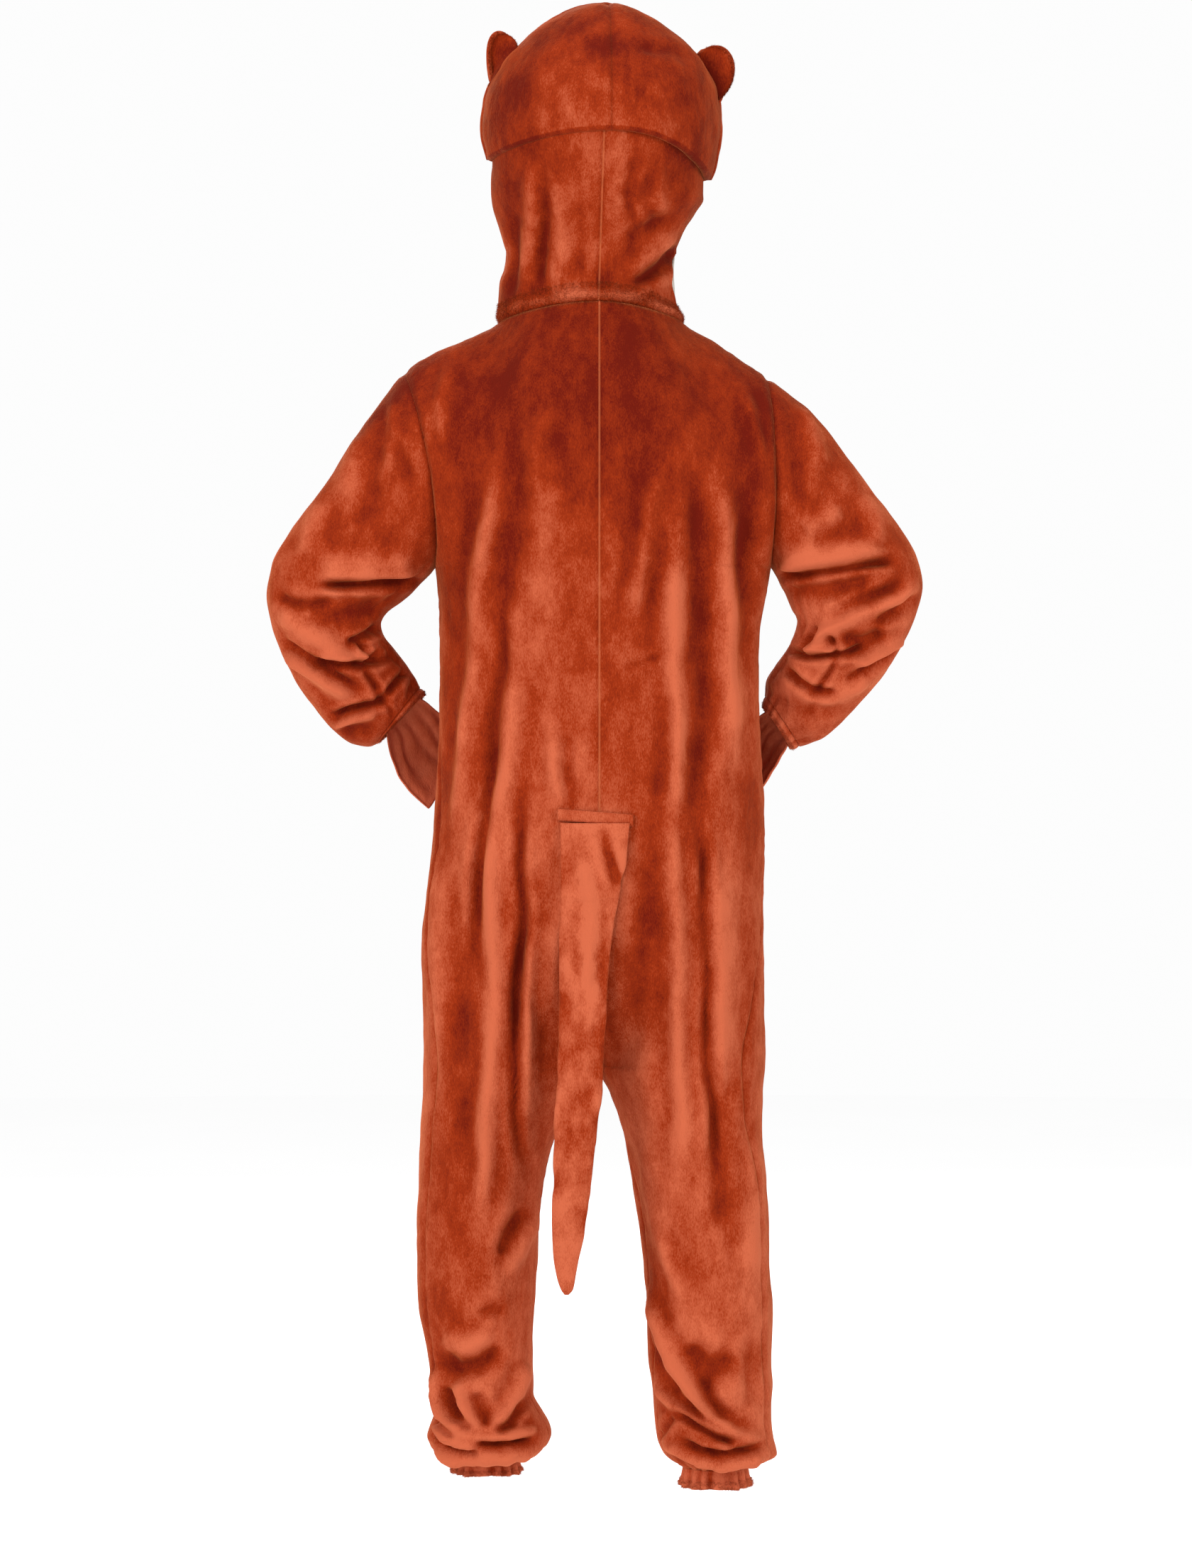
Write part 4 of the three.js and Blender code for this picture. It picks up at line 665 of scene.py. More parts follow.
def fold_height(folds, place):
    """Height of the listed folds over points seen from behind; each line wanders a little."""
    x = place[..., 0] + FOLD_WANDER * noise(place, FOLD_WANDER_SIZE)
    z = place[..., 2] + FOLD_WANDER * noise(place + 400, FOLD_WANDER_SIZE)
    total = np.zeros(x.shape)
    for width, height, *line in folds:
        line = np.array(line, float)
        lengths = np.linalg.norm(np.diff(line, axis=0), axis=1)
        nearest = np.full(x.shape, 1e6)
        along = np.zeros(x.shape)
        for i, length in enumerate(lengths):
            step = (line[i + 1] - line[i]) / length
            t = np.clip((x - line[i][0]) * step[0] + (z - line[i][1]) * step[1], 0, length)
            distance = np.hypot(x - line[i][0] - t * step[0], z - line[i][1] - t * step[1])
            along = np.where(distance < nearest, (lengths[:i].sum() + t) / lengths.sum(), along)
            nearest = np.minimum(nearest, distance)
        fade = smooth(along / FOLD_FADE) * smooth((1 - along) / FOLD_FADE)
        beside = FOLD_BESIDE * bump(nearest - FOLD_BESIDE_PLACE * width, width)
        uneven = 1 + 0.3 * noise(place + height, FOLD_UNEVEN_SIZE)
        total += height * fade * uneven * (bump(nearest, width) - beside)
    return total


def ripple(place, strength=1.0):
    """The small unevenness of plush that hangs: long soft waves and shorter dents."""
    waves = 3.0 * noise(place, (64, 64, 190)) + 1.5 * noise(place + 90, (30, 30, 62))
    dents = 0.7 * noise(place + 170, (13, 13, 21))
    return strength * (waves + dents)


def seam_dip(distance, place, depth=SEAM_DIP, width=SEAM_WIDTH):
    """A sewn edge lies lower, with small puckers beside it."""
    pucker = noise(place, (8, 8, 8)) * bump(distance, 3 * width)
    return -depth * bump(distance, width) + pucker * smooth(distance / width)


def round_places(turn, height):
    """Places on a small circle, so that noise read there joins up round a ring."""
    return points(9 * np.cos(2 * np.pi * turn), 9 * np.sin(2 * np.pi * turn), height)


def gathers(turn, count, seed):
    """Uneven pleats round a ring, about -1 to 1; turn runs from 0 to 1."""
    ring = round_places(turn, seed)
    drift = 0.6 * noise(ring, (5, 5, 5))
    size = 0.75 + 0.45 * noise(ring + 50, (4, 4, 4))
    return np.cos(2 * np.pi * (count * turn + drift)) * size


def panel_rows(side):
    """Heights of a panel's rows below the underarm."""
    trunk = np.linspace(UNDERARM_Z, SEAT_Z, 85)[1:]
    seat = mix(SEAT_Z, CROTCH_Z, np.sin(np.linspace(0, np.pi / 2, 51)))[1:]
    along = np.linspace(0, 1, 141)[1:]
    leg = mix(CROTCH_Z, side.hem_top, along + 0.35 * along * (1 - along))
    return np.concatenate([trunk, seat, leg])


def panel_surface(side, back, across):
    """A body panel's outer face with its folds, its normals, and the height of the folds."""
    facing = 1 if back else -1
    down = np.linspace(0, 1, YOKE_ROWS)
    yoke = yoke_point(side, back, across[None, :], down[:, None])
    z = panel_rows(side)[:, None]
    start = (1 if back else -1) - side.turn["inseam"](z)
    share = mix(start, side.turn["side"](z), across[None, :])
    eased = smooth((EASE_REACH - np.abs(across - NECK_SHARE)) / EASE_BAND)[1:-1]
    eased = eased * smooth(down / 0.05)[:, None]
    for _ in range(EASE_PASSES):
        beside = (yoke[:, :-2] + yoke[:, 2:]) / 2
        yoke[:, 1:-1] = mix(yoke[:, 1:-1], beside, 0.8 * eased[..., None])
    base = np.concatenate([yoke, body_point(side, share, z)])
    fine = np.linspace(0, 1, 3) * YOKE_STEP
    normals = np.empty_like(base)
    for c, t in enumerate(across):
        near = np.clip(t + fine - YOKE_STEP, 0, 1)
        strip = yoke_point(side, back, near[None, :], down[:, None])
        normals[:YOKE_ROWS, c] = grid_normals(strip, facing)[:, 1]
    soft = grid_normals(yoke, facing)
    normals[:YOKE_ROWS, 1:-1] = unit(mix(normals[:YOKE_ROWS, 1:-1], soft[:, 1:-1], eased[..., None]))
    normals[YOKE_ROWS:] = body_normal(side, share, z)
    armhole = armhole_normal(facing * 180 * down)[:, None, :]
    to_armhole = smooth((across[None, :, None] - 0.9) / 0.1)
    normals[:YOKE_ROWS] = unit(mix(normals[:YOKE_ROWS], armhole, to_armhole))
    normals[YOKE_ROWS - 1] = body_normal(side, facing * (1 - across), UNDERARM_Z)
    normals[:YOKE_ROWS, across == 0, 0] = 0
    normals[0, across >= NECK_SHARE, 1] = 0
    normals = unit(normals)
    world = mirrored(side, base)
    row = np.arange(len(base))[:, None]
    fall = row / (YOKE_ROWS - 1)
    in_yoke = fall < 1
    sides = smooth(np.abs(base[..., 1]) / FOLD_SIDE_FADE)
    hem = smooth((base[..., 2] - side.hem_top) / FOLD_HEM_FADE)
    at_top = np.where(in_yoke, smooth(fall / 0.2), 1)
    at_armhole = np.where(in_yoke, smooth((1 - across[None, :]) / 0.16), 1)
    folds = np.where(base[..., 1] >= 0, fold_height(BACK_FOLDS, world), fold_height(FRONT_FOLDS, world))
    to_shoulder = mix(at_top, 1, smooth((across[None, :] - NECK_SHARE) / 0.3))
    lift = folds * sides * hem * at_top * at_armhole + ripple(world) * to_shoulder * (0.3 + 0.7 * hem)
    width = PANEL_WIDTH[back] * np.where(in_yoke, 0.75, 1)
    centre = seam_dip(across[None, :] * width, world, CENTRE_DIP, CENTRE_SEAM_WIDTH)
    lift += centre * np.where(in_yoke, smooth(fall / 0.08), 1)
    lift += seam_dip((1 - across[None, :]) * width, world, ARMHOLE_DIP)
    shoulder = seam_dip(np.where(in_yoke, fall * YOKE_HEIGHT, 1e3), world)
    lift += shoulder * smooth((across[None, :] - NECK_SHARE) / 0.05) * smooth((1 - across[None, :]) / 0.08)
    turn = (1 - np.concatenate([np.zeros((YOKE_ROWS, len(across))), share])) / 2
    near_hem = smooth((side.hem_top + HEM_GATHER_REACH - base[..., 2]) / HEM_GATHER_REACH) ** 2
    pleats = gathers(turn, GATHERS["hem"], side.sign)
    lift += near_hem * (1.7 * pleats - 0.2)
    return base + normals * lift[..., None], normals, lift


def lengths_along(grid, axis):
    steps = np.linalg.norm(np.diff(grid, axis=axis), axis=-1)
    first = np.zeros_like(np.take(steps, [0], axis=axis))
    return np.concatenate([first, np.cumsum(steps, axis=axis)], axis=axis)


def grid_area(grid):
    one = np.cross(grid[1:, :-1] - grid[:-1, :-1], grid[:-1, 1:] - grid[:-1, :-1])
    two = np.cross(grid[1:, :-1] - grid[1:, 1:], grid[:-1, 1:] - grid[1:, 1:])
    return (np.linalg.norm(one, axis=-1).sum() + np.linalg.norm(two, axis=-1).sum()) / 2


def mesh_object(name, places, faces, material, uvs=None, marks=None):
    """A smooth-shaded object from points in mm; marks are named values kept at its points."""
    mesh = bpy.data.meshes.new(name)
    mesh.from_pydata((places * MM).tolist(), [], faces if isinstance(faces, list) else faces.tolist())
    mesh.polygons.foreach_set("use_smooth", np.ones(len(mesh.polygons), bool))
    if uvs is not None:
        layer = mesh.uv_layers.new(name="cloth")
        layer.data.foreach_set("uv", (uvs[faces.reshape(-1)] * MM).reshape(-1))
    for key, values in (marks or {}).items():
        mesh.attributes.new(key, "FLOAT", "POINT").data.foreach_set("value", values)
    mesh.materials.append(material)
    mesh.update()
    obj = bpy.data.objects.new(name, mesh)
    bpy.context.collection.objects.link(obj)
    return obj


def grid_faces(rows, columns, ring):
    """The four-sided faces of a grid of points, row by row."""
    r, c = np.meshgrid(np.arange(rows - 1), np.arange(columns if ring else columns - 1), indexing="ij")
    right = (c + 1) % columns
    below = (r + 1) * columns
    return np.stack([r * columns + c, below + c, below + right, r * columns + right], -1).reshape(-1, 4)


def shell_object(name, outer, normals, facing, material, ring=False, thickness=CLOTH, nap=None):
    """A closed sheet: the grid is its outer face and the inner face lies one thickness inside."""
    rows, columns = outer.shape[:2]
    thick = np.broadcast_to(np.asarray(thickness, float), (rows, columns))
    inner = outer - normals * thick[..., None]
    places = np.concatenate([outer.reshape(-1, 3), inner.reshape(-1, 3)])
    quads = grid_faces(rows, columns, ring)
    count = rows * columns
    c = np.arange(columns if ring else columns - 1)
    right = (c + 1) % columns
    end = (rows - 1) * columns
    walls = [np.stack([c, right, right + count, c + count], -1)]
    walls.append(np.stack([end + right, end + c, end + c + count, end + right + count], -1))
    if not ring:
        r = np.arange(rows - 1) * columns
        last = r + columns - 1
        walls.append(np.stack([r + columns, r, r + count, r + columns + count], -1))
        walls.append(np.stack([last, last + columns, last + columns + count, last + count], -1))
    faces = np.concatenate([quads, quads[:, ::-1] + count] + walls)
    if facing < 0:
        faces = faces[:, ::-1]
    uv = np.stack([lengths_along(outer, 1), lengths_along(outer, 0)], -1).reshape(-1, 2)
    values = np.zeros((rows, columns)) if nap is None else nap
    # Kept at the points as painted shading: where low the cloth is painted darker as shade, where high
    # lighter as highlight.
    marks = {"nap": np.tile(values.reshape(-1), 2)}
    return mesh_object(name, places, faces, material, np.tile(uv, (2, 1)), marks)


def mirrored(side, grid):
    return grid * np.array([side.sign, 1, 1])


def finish_piece(obj, node):
    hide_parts(node)
    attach(obj, "root")
    return obj


CUTS = {}
FACES = {}


def cloth_piece(name, outer, normals, facing, material, slot="rust_plush", held="hung", fullness=1.0,
                rests_on=(), **options):
    """A sheet piece with its flat size; fullness is how much wider the cut is than it hangs."""
    obj = shell_object(f"{name}_plush", outer, normals, facing, material, **options)
    FACES[name] = (outer, normals)
    finish_piece(obj, name)
    closed = options.get("ring", False)
    grid = np.concatenate([outer, outer[:, :1]], 1) if closed else outer
    width = lengths_along(grid, 1)[:, -1].max() * MM * fullness
    length = lengths_along(grid, 0)[-1].max() * MM
    area = min(grid_area(grid) * MM * MM * fullness, width * length)
    CUTS[name] = (round(width, 3), round(length, 3), round(area, 3))
    return obj


def side_piece(side, name, outer, normals, facing, material, **options):
    """A sheet piece of one half, mirrored to its side; facing is that of the left half."""
    name = f"{name}_{side.name}"
    facing = facing * side.sign
    cloth_piece(name, mirrored(side, outer), mirrored(side, normals), facing, material, **options)


# Materials


def new_group(name, inputs, outputs):
    group = bpy.data.node_groups.new(name, "ShaderNodeTree")
    for label, kind, value in inputs:
        socket = group.interface.new_socket(label, in_out="INPUT", socket_type=kind)
        socket.default_value = value
    for label, kind in outputs:
        group.interface.new_socket(label, in_out="OUTPUT", socket_type=kind)
    return group


def node(tree, kind, **settings):
    made = tree.nodes.new(kind)
    for key, value in settings.items():
        if key in made.inputs:
            made.inputs[key].default_value = value
        else:
            setattr(made, key, value)
    return made


def math_node(tree, operation, first, second):
    made = node(tree, "ShaderNodeMath", operation=operation)
    for i, value in enumerate((first, second)):
        if isinstance(value, (int, float)):
            made.inputs[i].default_value = value
        else:
            tree.links.new(value, made.inputs[i])
    return made.outputs[0]


def mixed(tree, share, first, second):
    made = node(tree, "ShaderNodeMix", data_type="RGBA")
    tree.links.new(share, made.inputs[0])
    for socket, value in ((made.inputs[6], first), (made.inputs[7], second)):
        if isinstance(value, tuple):
            socket.default_value = value
        else:
            tree.links.new(value, socket)
    return made.outputs[2]


def ranged(tree, value, low, high, out_low=0.0, out_high=1.0):
    made = node(tree, "ShaderNodeMapRange")
    tree.links.new(value, made.inputs[0])
    for i, number in enumerate((low, high, out_low, out_high)):
        made.inputs[i + 1].default_value = number
    return made.outputs[0]


def noise_node(tree, place, scale, detail=3.0, stretch=None):
    if stretch:
        mapping = node(tree, "ShaderNodeMapping")
        mapping.inputs["Scale"].default_value = stretch
        tree.links.new(place, mapping.inputs["Vector"])
        place = mapping.outputs[0]
    made = node(tree, "ShaderNodeTexNoise", Scale=scale, Detail=detail)
    tree.links.new(place, made.inputs["Vector"])
    return made.outputs["Fac"]


# Scale, detail and drawn-out share down the cloth: broad patches, small patches, specks and fibres
PILE_NOISE = ((9.0, 2.0, 0.45), (42.0, 3.0, 0.6), (170.0, 3.0, 0.5), (900.0, 2.0, 0.35))
# Painted light by height: the upper back is painted darker as shade and the legs and hood lighter. From and
# to in metres above the neckline, and what is added at both
PAINTED_LIGHT_BY_HEIGHT = ((-1.1, -0.42, 0.72, 0.58), (-0.38, -0.08, 0.0, -0.28), (-0.04, 0.14, 0.0, 0.06))


def pile_group():
    """Plush pile: brushed patches, mottling that runs down the cloth and single fibres, with painted shade in
    the folds' troughs, painted highlight on their ridges, and painted light that changes with height.
    """
    inputs = [("Shift", "NodeSocketFloat", 0.0), ("Patches", "NodeSocketFloat", 1.0)]
    inputs.append(("Fibres", "NodeSocketFloat", 1.0))
    outputs = [("Tone", "NodeSocketFloat"), ("Height", "NodeSocketFloat")]
    tree = new_group("plush pile", inputs, outputs)
    source = node(tree, "NodeGroupInput")
    place = node(tree, "ShaderNodeTexCoord").outputs["Object"]
    broad, patch, speck, fibre = [
        noise_node(tree, place, scale, detail, (1.0, 1.0, squash)) for scale, detail, squash in PILE_NOISE
    ]
    # This value at each point is painted shade and painted highlight: troughs and hollows are drawn darker
    # and ridges lighter.
    nap = node(tree, "ShaderNodeAttribute", attribute_name="nap").outputs["Fac"]
    tone = math_node(tree, "ADD", ranged(tree, broad, 0.35, 0.65, -0.13, 0.13),
                     ranged(tree, patch, 0.36, 0.64, -0.09, 0.09))
    tone = math_node(tree, "MULTIPLY", tone, source.outputs["Patches"])
    # Painted light for the whole piece is added here.
    tone = math_node(tree, "ADD", tone, source.outputs["Shift"])
    tone = math_node(tree, "ADD", tone, ranged(tree, speck, 0.3, 0.7, -0.06, 0.06))
    grain = math_node(tree, "MULTIPLY", ranged(tree, fibre, 0.3, 0.7, -0.13, 0.13), source.outputs["Fibres"])
    tone = math_node(tree, "ADD", tone, grain)
    tone = math_node(tree, "ADD", tone, ranged(tree, nap, -10.0, 10.0, -0.46, 0.36))
    height_up = node(tree, "ShaderNodeSeparateXYZ")
    tree.links.new(place, height_up.inputs[0])
    up = height_up.outputs["Z"]
    # Painted shade on the upper back and painted light on the legs and hood.
    for limits in PAINTED_LIGHT_BY_HEIGHT:
        tone = math_node(tree, "ADD", tone, ranged(tree, up, *limits))
    height = math_node(tree, "ADD", math_node(tree, "MULTIPLY", speck, 1.6), fibre)
    sink = node(tree, "NodeGroupOutput")
    tree.links.new(tone, sink.inputs["Tone"])
    tree.links.new(height, sink.inputs["Height"])
    return tree


PILE = pile_group()
# Width of the painted highlight along one side of a seam, in metres; it fades out over as much again
SEAM_LINE = 0.0007
PLUSH_FINISH = {"Roughness": 0.9, "Specular IOR Level": 0.1, "Sheen Roughness": 0.34}


def plush_material(name, tones, sheen, tint, shift=0.0, patches=1.0, fibres=1.0, line=None):
    """Short plush: three tones of one colour, a sheen on the pile and a fine bump. line is the colour of a
    painted highlight along the piece's first edge, and shift is painted light for the whole piece."""
    dark, middle, light = tones
    material = bpy.data.materials.new(name)
    material.use_nodes = True
    tree = material.node_tree
    shader = tree.nodes["Principled BSDF"]
    pile = node(tree, "ShaderNodeGroup", node_tree=PILE)
    # The first of these lifts or lowers the whole piece's tone as painted light.
    for label, value in (("Shift", shift), ("Patches", patches), ("Fibres", fibres)):
        pile.inputs[label].default_value = value
    tone = pile.outputs["Tone"]
    lower = mixed(tree, ranged(tree, tone, 0.1, 0.5), dark, middle)
    colour = mixed(tree, ranged(tree, tone, 0.5, 0.95), lower, light)
    # A painted highlight: a lighter line along the seam at the piece's first edge.
    if line:
        across = node(tree, "ShaderNodeSeparateXYZ")
        tree.links.new(node(tree, "ShaderNodeUVMap", uv_map="cloth").outputs[0], across.inputs[0])
        near = ranged(tree, across.outputs["X"], SEAM_LINE, 2 * SEAM_LINE, 0.5, 0.0)
        colour = mixed(tree, near, colour, line)
    tree.links.new(colour, shader.inputs["Base Color"])
    bumped = node(tree, "ShaderNodeBump", Strength=0.5, Distance=0.0014)
    tree.links.new(pile.outputs["Height"], bumped.inputs["Height"])
    tree.links.new(bumped.outputs[0], shader.inputs["Normal"])
    for label, value in {**PLUSH_FINISH, "Sheen Weight": sheen, "Sheen Tint": tint}.items():
        shader.inputs[label].default_value = value
    return material


# Colour of the painted highlight along the centre seams.
SEAM_HIGHLIGHT = (0.62, 0.15, 0.055, 1)
RUST_TONES = [(0.12, 0.005, 0.0004, 1), (0.275, 0.024, 0.002, 1), (0.5, 0.105, 0.045, 1)]
RUST_SHEEN = (1.0, 0.3, 0.1, 1)
SHEEN = 0.42


def rust_plush(name, shift=0.0, patches=1.0, line=None):
    return plush_material(name, RUST_TONES, SHEEN, RUST_SHEEN, shift, patches, line=line)


RUST = rust_plush("rust plush")
RUST_SEAMED = rust_plush("rust plush, centre seam", line=SEAM_HIGHLIGHT)
# The number after a name is painted light: the hood, the tail and most of all the right sleeve are drawn
# lighter than the body, the left sleeve a little, as lit copies of one rust plush.
RUST_HOOD = rust_plush("rust plush, hood", 0.1, 1.35)
RUST_HOOD_SEAMED = rust_plush("rust plush, hood seam", 0.1, 1.35, SEAM_HIGHLIGHT)
RUST_SLEEVE = {
    "left": rust_plush("rust plush, left sleeve", 0.03),
    "right": rust_plush("rust plush, right sleeve", 0.14),
}
RUST_TAIL = rust_plush("rust plush, tail", 0.09, 1.4)
WRONG_TONES = [(0.2, 0.026, 0.008, 1), (0.4, 0.066, 0.024, 1), (0.56, 0.13, 0.06, 1)]
# The wrong side's own paler tones, lifted 0.22 further by painted light.
WRONG_SIDE = plush_material("plush, wrong side", WRONG_TONES, 0.3, (1.0, 0.5, 0.3, 1), 0.22, 0.8, 0.6)
CREAM_TONES = [(0.5, 0.46, 0.4, 1), (0.66, 0.62, 0.55, 1), (0.8, 0.77, 0.7, 1)]
CREAM = plush_material("cream plush", CREAM_TONES, 0.3, (1.0, 0.95, 0.88, 1), 0.0, 0.7, 0.7)

# Body


BODY_COLUMNS = 76
PLACKET = {"reach": 0.047, "top": 0.25, "bottom_z": -610, "lift": 2.4}


def seam_spaced(count):
    """Shares from 0 to 1, closer together at both seams."""
    t = np.linspace(0, 1, count + 1)
    return t - 0.4 * np.sin(2 * np.pi * t) / (2 * np.pi)


def add_body(side):
    across = seam_spaced(BODY_COLUMNS)
    for back in (True, False):
        outer, normals, lift = panel_surface(side, back, across)
        name, facing, material = ("body_back", 1, RUST_SEAMED) if back else ("body_front", -1, RUST)
        # The fold heights also paint shade in the troughs and highlight on the ridges.
        side_piece(side, name, outer, normals, facing, material, nap=lift)


def add_placket():
    """The lapped strip that hides the way in down the front."""
    across = np.linspace(0, PLACKET["reach"], 7)
    halves = [panel_surface(side, False, across) for side in SIDES]
    left, right = [mirrored(side, half[0]) for side, half in zip(SIDES, halves)]
    left_normals, right_normals = [mirrored(side, half[1]) for side, half in zip(SIDES, halves)]
    grid = np.concatenate([right[:, :0:-1], left], 1)
    normals = np.concatenate([right_normals[:, :0:-1], left_normals], 1)
    keep = (grid[:, 6, 2] > PLACKET["bottom_z"]) & (np.arange(len(grid)) > 2)
    grid = grid[keep]
    normals = normals[keep]
    edge = np.linspace(-1, 1, grid.shape[1])
    rounded = np.sqrt(np.clip(1 - edge**6, 0, 1))
    stitched = 0.8 * bump(np.abs(edge) - 0.72, 0.1)
    lift = PLACKET["lift"] + 1.2 * rounded + 0.5 * noise(grid, (9, 9, 14)) - stitched
    outer = grid + normals * lift[..., None]
    cloth_piece("front_placket", outer, normals, -1, RUST, thickness=1.4, rests_on=["body_front_left"])


HEM_FLARE = 0.3


def add_hem(side):
    turn = np.linspace(0, 1, 241)[:-1]
    down = np.linspace(0, 1, 17)[:, None]
    edge_wander = 1.8 * noise(round_places(turn, 3), (3, 3, 3))
    z = mix(side.hem_top, side.hem_bottom + edge_wander[None, :], down)
    base = body_point(side, 1 - 2 * turn[None, :], z)
    ring = body_point(side, 1 - 2 * turn[None, :], side.hem_top + 0 * z)
    base[..., :2] = mix(ring, base, HEM_FLARE)[..., :2]
    normals = flattened(grid_normals(base, 1, ring=True), np.array([0.0, 0, 1]))
    pleats = gathers(turn[None, :], GATHERS["hem"], side.sign)
    rolled = 1.6 * bump(down - 0.82, 0.16) - 2.0 * smooth((down - 0.9) / 0.1)
    lift = 1.5 - 1.4 * bump(down, 0.25) + pleats * mix(1.7, 3.4, down) + rolled
    lift = lift + 0.6 * noise(mirrored(side, base), (6, 6, 9))
    outer = base + normals * lift[..., None]
    thickness = CLOTH + 1.2 * smooth(down) * np.ones_like(lift)
    # Twice the heights paint shade in the pleats' troughs and highlight on their crests.
    side_piece(side, "hem_ruffle", outer, normals, 1, RUST, held="gathered", fullness=1.25, ring=True,
               thickness=thickness, nap=lift * 2)


# Sleeves


CUFF_LIFT = {"left": 0.5, "right": 1.7}
SLEEVE_COLUMNS = 144
# The sleeve's seam, as a share of the way round from its outer edge
SLEEVE_SEAM_TURN = 0.425
# A sleeve's girth in widths from its outer edge to the underarm
GIRTH_SHARE = 2.6


def sleeve_surface(side, stations, turns):
    base = sleeve_point(side, stations[:, None], 360 * turns[None, :])
    normals = grid_normals(base, -1, ring=True)
    blend = smooth(stations / 0.8)[:, None, None]
    normals = unit(mix(armhole_normal(360 * turns)[None], normals, blend))
    axis = sleeve_axis(side, SLEEVE_END)
    end_share = smooth((stations - SLEEVE_END + 0.8) / 0.8)[:, None, None]
    normals = unit(mix(normals, flattened(normals, axis), end_share))
    world = mirrored(side, base)
    at_top = smooth(stations / 1.2)[:, None]
    at_end = smooth((SLEEVE_END - stations) / 1.2)[:, None]
    depth = smooth(np.abs(np.sin(2 * np.pi * turns)) / 0.62)[None, :]
    lift = fold_height(SLEEVE_FOLDS[side.name], base) * at_top * at_end * depth
    lift += ripple(world) * (0.35 + 0.65 * at_end)
    lift += seam_dip(apart(base, base[:1]), world, ARMHOLE_DIP)
    girth = apart(base[:, 0], base[:, len(turns) // 2])[:, None] * GIRTH_SHARE
    from_seam = np.abs(turns[None, :] - SLEEVE_SEAM_TURN) * girth
    lift += seam_dip(from_seam, world, 2.2) * smooth(stations / 0.5)[:, None]
    pleats = gathers(turns[None, :], GATHERS["cuff"], side.sign + 5)
    near_end = smooth((stations - SLEEVE_END + 2.2) / 2.2)[:, None] ** 2
    lift += near_end * CUFF_LIFT[side.name] * pleats
    return base + normals * lift[..., None], normals, lift


def add_sleeve(side):
    stations = SLEEVE_END * np.linspace(0, 1, 181)
    turns = np.linspace(0, 1, SLEEVE_COLUMNS + 1)[:-1]
    outer, normals, lift = sleeve_surface(side, stations, turns)
    # The fold heights also paint shade in the troughs and highlight on the ridges.
    side_piece(side, "sleeve", outer, normals, -1, RUST_SLEEVE[side.name], ring=True, nap=lift)


def add_cuff(side):
    stations = np.linspace(SLEEVE_END, CUFF_END, 13)
    turns = np.linspace(0, 1, SLEEVE_COLUMNS + 1)[:-1]
    base = sleeve_point(side, stations[:, None], 360 * turns[None, :])
    normals = flattened(grid_normals(base, -1, ring=True), sleeve_axis(side, SLEEVE_END))
    down = np.linspace(0, 1, 13)[:, None]
    pleats = gathers(turns[None, :], GATHERS["cuff"], side.sign + 5)
    lift = pleats * CUFF_LIFT[side.name] * mix(1.0, 1.5, down)
    lift = lift + 1.6 * bump(down - 0.55, 0.4) - 1.2 * bump(down, 0.2)
    ripples = ripple(mirrored(side, base), 0.28)
    outer = base + normals * (lift + ripples)[..., None]
    # Twice the heights paint shade in the pleats' troughs and highlight on their crests.
    side_piece(side, "cuff", outer, normals, -1, RUST_SLEEVE[side.name], held="gathered", fullness=1.2,
               ring=True, thickness=2.6, nap=lift * 2)


PAW_INSET = 0.86
PAW_WRINKLES = 4.3


def add_paw_flap(side):
    """Hangs from the front half of the cuff's edge, with wrinkles that run out from the wrist."""
    flap = PAW_FLAPS[side.name]
    down = np.linspace(0, 1, 49)[:, None]
    across = np.linspace(0, 1, 49)[None, :]
    turn = mix(360 - PAW_START, 180 + PAW_START, across)
    mouth = (sleeve_point(side, CUFF_END, 0) + sleeve_point(side, CUFF_END, 180)) / 2
    near = mix(mouth, sleeve_point(side, CUFF_END, turn), PAW_INSET) - sleeve_axis(side, CUFF_END) * 3
    far = mix(np.array(flap["low"], float), np.array(flap["high"], float), across[..., None])
    rounded = np.sin(np.pi * across) ** 0.6
    far = far - points(0, 0, PAW_BULGE) * rounded[..., None]
    base = mix(near, far, down[..., None])
    swell = np.sin(np.pi * down)
    base[..., 0] += flap["bow"] * (1 - across) * swell
    base[..., 1] -= PAW_BULGE * 0.6 * np.sin(np.pi * across) * swell
    normals = grid_normals(base, 1)
    world = mirrored(side, base)
    fan = np.sin(2 * np.pi * (PAW_WRINKLES * across + 0.5 * noise(world, (30, 30, 30))))
    fan = fan * np.sin(np.pi * down) ** 0.7
    lift = 2.6 * fan * (1 - 0.55 * down) + 1.4 * noise(world, (14, 14, 14)) * np.minimum(down * 4, 1)
    from_edge = np.minimum(np.minimum(across, 1 - across), 1 - down + 0 * across) * 90
    lift += 1.3 * bump(from_edge - 5, 4)
    outer = base + normals * lift[..., None]
    # Twice the heights paint shade in the wrinkles' troughs and highlight on their crests.
    side_piece(side, "paw_flap", outer, normals, 1, WRONG_SIDE, slot="plush_wrong_side", nap=lift * 2)


# Hood


CROWN_CURL = 6.5
BROW_CURL = 7
CURL_ROWS = 7
CURL_TURN = 110
HOOD_SEAM_DIP = 2.6
BROW_SEAM_DIP = 3.0
CROWN_CREASE = [(6, -3.5, (-45, 305), (-80, 300), (-108, 290))]


